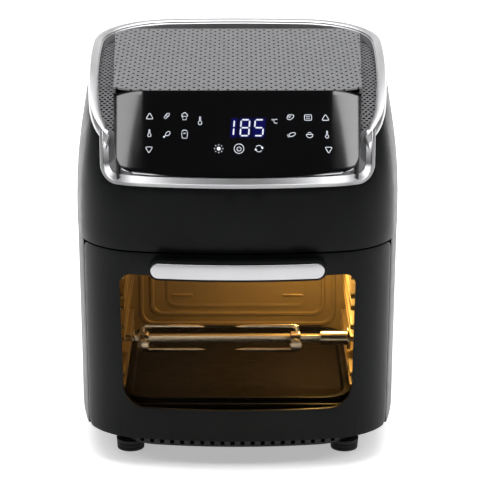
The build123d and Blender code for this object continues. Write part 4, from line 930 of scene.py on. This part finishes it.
# the mesh ends just inside the panel's roll, the pod's sides, its rounded rear corners and its two ends
side_lean = math.atan2(POD_WIDENS, POD_REAR.y - POD_FRONT.y)
roll_cuts, side_cuts, corner_cuts = [], [], []
for side in (-1, 1):
    roll_centre = Vector((side * PANEL_FLAT, POD_FRONT.y + 0.6 + PANEL_ROLL, POD_FRONT.z))
    corner_centre = Vector((side * POD_CORNER_X, POD_CORNER_Y, POD_REAR.z))
    side_cuts.append((Vector((side * (POD_HALF_FRONT - 0.3), POD_FRONT.y, POD_FRONT.z)),
                      Vector((side * math.cos(side_lean), -math.sin(side_lean), 0))))
    for degrees in range(3, 34, 6):
        turn = math.radians(degrees)
        facing = Vector((side * math.sin(turn), -math.cos(turn), 0))
        roll_cuts.append((roll_centre + facing * PANEL_ROLL, facing))
    for degrees in range(10, 90, 10):
        turn = math.radians(degrees)
        facing = Vector((side * math.cos(turn), math.sin(turn), 0))
        corner_cuts.append((corner_centre + facing * (POD_CORNER - 0.3), facing))
end_cuts = [(on_pod(0, pod_run - 0.4), pod_along), (on_pod(0, 0.6), -pod_along)]
sheet_piece("top_mesh", top_verts, top_faces, ("top_grille",),
            roll_cuts + side_cuts + corner_cuts + end_cuts)

SIDE_PITCH_X, SIDE_PITCH_Y = 5.2, 3.9
SIDE_HOLE = 2.9
GRILLE_DROP = 12.0
GRILLE_INSET = 6.8                  # its edge is hidden by the ring's inner wall
GRILLE_FRONT, GRILLE_REAR = -113.0, 118.0


def grille_reach(y):
    """Half width of the recessed side grille at depth y."""
    z = crest(y) - GRILLE_DROP
    q = crossing(lambda step: skin(step, z, GRILLE_INSET).y < y, 0.0, 5.0)
    return skin(q, z, GRILLE_INSET).x if 1e-3 < q < 4.999 else 0.0


def outside_pod(x, y):
    """True where the pod leaves the recessed grille free, with a small overlap under the pod's wall."""
    if y > POD_CORNER_Y and abs(x) > POD_CORNER_X:
        return math.hypot(abs(x) - POD_CORNER_X, y - POD_CORNER_Y) > POD_CORNER - 3.0
    return abs(x) > pod_half(y) - 2.0 or y > GRILLE_REAR


side_cells = []
for row in range(-29, 44):
    y = row * SIDE_PITCH_Y
    reach = grille_reach(y)
    for column in range(-30, 31):
        x = (column + 0.5 * (row % 2)) * SIDE_PITCH_X
        if y > GRILLE_FRONT and abs(x) < reach and outside_pod(x, y):
            side_cells.append((x, y))
side_verts, side_faces = perforated(side_cells, lambda x, y: Vector((x, y, crest(y) - GRILLE_DROP)),
                                    SIDE_HOLE, SIDE_HOLE, SIDE_PITCH_X, SIDE_PITCH_Y)
sheet_piece("side_mesh", side_verts, side_faces, ("side_grille",))

# ---- pod walls, pushed back where they would stand in front of the panel's roll
PANEL_ROLL_END = PANEL_FLAT + 36.0
pod = softened("control_pod", 0.6)
for vert in pod.data.vertices:
    place = vert.co / MM
    behind_panel = (PANEL_CENTRE - place).dot(PANEL_OUT)
    wanted = panel_drop(min(abs(place.x), PANEL_ROLL_END)) + 0.3
    if behind_panel < wanted and abs(place.x) > PANEL_FLAT:
        vert.co -= PANEL_OUT * (wanted - behind_panel) * MM

# ---- oven cavity
WALL_X, BACK_Y, WALL_TOP, WALL_LOW = 115.8, 109.8, 204.8, 47.2
wall_mid_z = (WALL_TOP + WALL_LOW) / 2
wall_half_z = (WALL_TOP - WALL_LOW) / 2


def pressed_panel(loops, place):
    """Sheet pressed in rounded rectangles: loops hold (half_w, half_h, radius, height)."""
    verts = []
    for half_w, half_h, radius, height in loops:
        verts += [place(u, v, height) for u, v in rounded_rect(half_w, half_h, radius)]
    columns = len(verts) // len(loops)
    faces = grid_faces(len(loops), columns, wrap=True)
    faces.append(tuple(range((len(loops) - 1) * columns, len(loops) * columns)))
    return verts, faces


def bead(place, half_length, half_width, height):
    """Rounded pressed bead, a half ellipse across and round at the ends."""
    rings = [(1.0, 0.0), (0.94, 0.45), (0.78, 0.78), (0.5, 0.95), (0.2, 1.0)]
    reach = half_length - half_width
    verts = []
    for share, rise in rings:
        radius = half_width * share
        outline = arc_points(reach, 0, radius, -90, 90, 10) + arc_points(-reach, 0, radius, 90, 270, 10)
        verts += [place(u, v, height * rise) for u, v in outline]
    columns = len(verts) // len(rings)
    faces = grid_faces(len(rings), columns, wrap=True)
    faces.append(tuple(range((len(rings) - 1) * columns, len(rings) * columns)))
    return verts, faces


back_loops = [
    (WALL_X - 0.3, wall_half_z - 0.3, 12.5, 0.0), (103.0, 68.0, 14.0, 0.0), (102.0, 67.0, 13.5, 1.5),
    (99.5, 64.5, 12.0, 1.5), (98.5, 63.5, 11.5, 0.0), (92.0, 57.0, 12.0, 0.0), (91.0, 56.0, 11.5, 1.5),
    (88.5, 53.5, 10.5, 1.5), (87.5, 52.5, 10.0, 0.0),
]
pressings = [pressed_panel(back_loops, lambda u, v, h: Vector((u, BACK_Y - 0.4 - h, wall_mid_z + v)))]
for dash_x in (-58.0, 58.0):
    for dash_z in (36.0, -34.0):
        middle = Vector((dash_x, BACK_Y - 0.5, wall_mid_z + dash_z))
        pressings.append(bead(lambda u, v, h, at=middle: at + Vector((u, -h, v)), 11.0, 1.5, 1.3))
pressed_verts, pressed_faces = join(pressings)
new_piece("cavity_pressings", pressed_verts, pressed_faces, "oven_steel", smooth=50.0)

# ---- forks and thumb screws
SPIT_Y, SPIT_Z = -39.0, 95.5
FORK_THICK = 2.8


def fork_piece(name, body, node, hub_x, tip_x, way):
    """Flat U-shaped fork cut from plate, welded to a round hub."""
    reach, arm, web = 14.2, 3.4, 4.2
    face = hub_x + way * 1.0
    outline = []
    for z_way in (1, -1):
        edge_points = [
            (face, 0.0), (face, reach - 5.0), (face + way * 1.4, reach - 1.4), (face + way * 5.0, reach),
            (tip_x - way * 9.0, reach - 0.6), (tip_x, reach - 2.4), (tip_x - way * 9.0, reach - arm - 0.2),
            (face + way * (web + 3.0), reach - arm), (face + way * (web + 0.8), reach - arm - 1.2),
            (face + way * web, reach - arm - 4.0), (face + way * web, 0.0),
        ]
        points = [(x, SPIT_Z + z_way * z) for x, z in edge_points]
        outline.append(points if z_way > 0 else points[::-1])
    whole = outline[0] + outline[1][1:-1]
    plate = slab(whole, lambda x, z, w: Vector((x, SPIT_Y - FORK_THICK / 2 + w, z)), FORK_THICK)
    hub_low = hub_x if way > 0 else hub_x - 10.0
    hub = lathe([(5.4, 0.0), (6.4, 0.6), (6.6, 1.4), (6.6, 8.6), (6.4, 9.4), (5.4, 10.0)],
                (hub_low, SPIT_Y, SPIT_Z), (1, 0, 0), 40)
    piece_verts, piece_faces = join([plate, hub])
    piece = new_piece(name, piece_verts, piece_faces, "bright_steel", (node,), body)
    bevel(piece, 0.45, 2, 40)
    apply_modifiers(piece)
    set_smooth(piece.data, 40.0)


fork_piece("left_fork_plate", "fork_left", "left_fork", -97.0, -32.0, 1)
fork_piece("right_fork_plate", "fork_right", "right_fork", 62.0, -2.0, -1)


def thumb_screw(name, body, node, x):
    """Screw with a waisted neck, a knurled head and a rounded grip."""
    tip = SPIT_Y - 3.9              # 0.4 clear of the flat of the 7 mm square spit
    profile = [(1.9, 0.0), (2.4, 0.6), (2.4, 10.6), (3.4, 11.0), (4.0, 11.6), (4.0, 13.2), (3.1, 14.4),
               (3.1, 15.6), (5.2, 16.8), (6.0, 17.6), (6.0, 19.6), (5.2, 20.4), (3.0, 20.9), (0.8, 21.0)]
    verts, faces = lathe(profile, (x, tip, SPIT_Z), (0, -1, 0), 48)
    knurled = []
    for index, vert in enumerate(verts):
        middle = Vector((x, vert.y, SPIT_Z))
        offset = vert - middle
        if offset.length > 5.0:
            offset *= 1.0 + 0.05 * (1 if (index % 48) % 4 < 2 else -1)
        knurled.append(middle + offset)
    new_piece(name, knurled, faces, "bright_steel", (node,), body, smooth=25.0)


thumb_screw("left_thumb_screw", "screw_left", "left_fork_screw", -92.0)
thumb_screw("right_thumb_screw", "screw_right", "right_fork_screw", 57.0)

# ---- feet
feet_low, feet_high = box_mm("rubber_feet")
FOOT_R = 14.0
FOOT_PROFILE = [
    (5.5, 3.9), (5.5, 0.4), (6.0, 0.0), (11.8, 0.0), (12.9, 0.5), (13.2, 1.5), (13.2, 3.2), (12.6, 3.6),
    (12.6, 4.2), (13.4, 4.6), (13.4, 6.4), (12.8, 6.8), (12.8, 7.4), (13.7, 7.8), (13.9, 10.9),
]
foot_parts = []
for foot_x in (feet_low.x + FOOT_R, feet_high.x - FOOT_R):
    for foot_y in (feet_low.y + FOOT_R, feet_high.y - FOOT_R):
        foot_parts.append(lathe(FOOT_PROFILE, (foot_x, foot_y, 0.0), (0, 0, 1), 56))
foot_verts, foot_faces = join(foot_parts)
new_piece("ribbed_feet", foot_verts, foot_faces, "rubber_black", ("rubber_feet",))

# ---- cord gland collar
gland_low, gland_high = box_mm("cord_gland")
gland_x, gland_z = (gland_low.x + gland_high.x) / 2, (gland_low.z + gland_high.z) / 2
gland_run = gland_high.y - gland_low.y
# radius and distance back from the gland's outer end
GLAND_OUTER = [(6.0, 4.4), (8.2, 4.2), (8.5, 3.7), (8.5, 2.9), (7.9, 2.4), (6.4, 2.2), (6.2, 0.8),
               (5.8, 0.2), (4.0, 0.0), (3.7, 0.3)]
gland_profile = [(3.7, 0.0), (6.0, 0.0)] + [(r, gland_run - back) for r, back in GLAND_OUTER] + [(3.6, 0.4)]
gland_verts, gland_faces = lathe(gland_profile, (gland_x, gland_low.y, gland_z), (0, 1, 0), 48)
new_piece("gland_collar", gland_verts, gland_faces, "rubber_black", ("cord_gland",))

# ---- camera, floor, light
VIEW_TARGET = Vector((0.0, 0.011, 0.200))
VIEW_DISTANCE = 2.2
VIEW_RISE = math.radians(16.1)
view_back = Vector((0, -math.cos(VIEW_RISE), math.sin(VIEW_RISE)))
camera_data = bpy.data.cameras.new("camera")
camera = bpy.data.objects.new("camera", camera_data)
bpy.context.scene.collection.objects.link(camera)
camera.location = VIEW_TARGET + view_back * VIEW_DISTANCE
camera.rotation_euler = (-view_back).to_track_quat("-Z", "Y").to_euler()
camera_data.sensor_width = 36.0
camera_data.lens = 159.3
camera_data.shift_x = 0.025
camera_data.shift_y = -0.042
bpy.context.scene.camera = camera


def area_light(name, place, target, size, power, colour=(1, 1, 1), size_y=None, roll=0.0):
    data = bpy.data.lights.new(name, "AREA")
    data.shape = "RECTANGLE"
    data.size = size
    data.size_y = size_y or size
    data.energy = power
    data.color = colour
    light = bpy.data.objects.new(name, data)
    bpy.context.scene.collection.objects.link(light)
    light.location = place
    facing = (Vector(place) - Vector(target)).to_track_quat("Z", "Y")
    light.rotation_euler = (facing @ Quaternion((0, 0, 1), math.radians(roll))).to_euler()


def bulb(name, place, radius, power, colour):
    data = bpy.data.lights.new(name, "POINT")
    data.shadow_soft_size = radius
    data.energy = power
    data.color = colour
    light = bpy.data.objects.new(name, data)
    bpy.context.scene.collection.objects.link(light)
    light.location = place


def studio_world(seen, lit):
    """White backdrop that lights the object more softly than it shows."""
    world = bpy.data.worlds.new("studio")
    bpy.context.scene.world = world
    world.use_nodes = True
    tree = world.node_tree
    soft = tree.nodes["Background"]
    soft.inputs["Strength"].default_value = lit
    shown = tree.nodes.new("ShaderNodeBackground")
    shown.inputs["Strength"].default_value = seen
    path = tree.nodes.new("ShaderNodeLightPath")
    mix = tree.nodes.new("ShaderNodeMixShader")
    for background in (soft, shown):
        background.inputs["Color"].default_value = (1, 1, 1, 1)
    tree.links.new(path.outputs["Is Camera Ray"], mix.inputs["Fac"])
    tree.links.new(soft.outputs["Background"], mix.inputs[1])
    tree.links.new(shown.outputs["Background"], mix.inputs[2])
    tree.links.new(mix.outputs["Shader"], tree.nodes["World Output"].inputs["Surface"])


studio_world(1.0, 0.035)
bpy.context.scene.view_settings.view_transform = "Standard"

surface("pale_floor", (0.86, 0.86, 0.86), (0.88, 0.88, 0.88), (0.8, 0.9), relief=0.0, specular=0.1)
# the floor's own light is weaker near the oven, so that its shadow shows
floor_tree = LOOKS["pale_floor"].node_tree
floor_shader = floor_tree.nodes["Principled BSDF"]
floor_shader.inputs["Emission Color"].default_value = (1, 1, 1, 1)
floor_place = floor_tree.nodes.new("ShaderNodeTexCoord")
floor_reach = floor_tree.nodes.new("ShaderNodeVectorMath")
floor_reach.operation = "LENGTH"
floor_fade = floor_tree.nodes.new("ShaderNodeMapRange")
for socket, value in (("From Min", 0.5), ("From Max", 1.8), ("To Min", 0.42), ("To Max", 1.0)):
    floor_fade.inputs[socket].default_value = value
floor_tree.links.new(floor_place.outputs["Object"], floor_reach.inputs[0])
floor_tree.links.new(floor_reach.outputs["Value"], floor_fade.inputs["Value"])
floor_tree.links.new(floor_fade.outputs["Result"], floor_shader.inputs["Emission Strength"])
FLOOR_HALF = 6000.0
floor_corners = [(-FLOOR_HALF, -FLOOR_HALF, 0), (FLOOR_HALF, -FLOOR_HALF, 0),
                 (FLOOR_HALF, FLOOR_HALF, 0), (-FLOOR_HALF, FLOOR_HALF, 0)]
floor = new_piece("floor", floor_corners, [(0, 1, 2, 3)], "shell_black", look="pale_floor")
floor.parent = None

area_light("key_top", (0.0, 0.25, 2.2), (0, 0.05, 0.1), 2.4, 66.0)
area_light("left_box", (-1.23, -0.875, 1.415), (-0.21, 0.145, 0.335), 1.45, 10.0, size_y=0.4, roll=32)
area_light("right_box", (1.23, -0.875, 1.415), (0.21, 0.145, 0.335), 1.45, 12.0, size_y=0.4, roll=-32)
area_light("left_card", (-1.3, -0.1, 0.45), (0, 0, 0.3), 1.4, 1.3, size_y=0.8)
area_light("right_card", (1.3, -0.25, 0.45), (0, 0, 0.3), 1.4, 1.8, size_y=0.8)
area_light("back_card", (0, 2.6, 1.0), (0, 0, 0.35), 4.2, 26.0, size_y=1.6)
area_light("back_left", (-1.2, 1.3, 1.2), (0, 0, 0.2), 0.8, 5.0)
area_light("back_right", (1.2, 1.3, 1.2), (0, 0, 0.2), 0.8, 5.0)
bulb("oven_lamp", (0.086, 0.0, 0.17), 0.012, 1.4, (1.0, 0.66, 0.20))
area_light("oven_glow", (0.0, 0.0, 0.198), (0, 0, 0.05), 0.15, 0.15, (1.0, 0.58, 0.22))
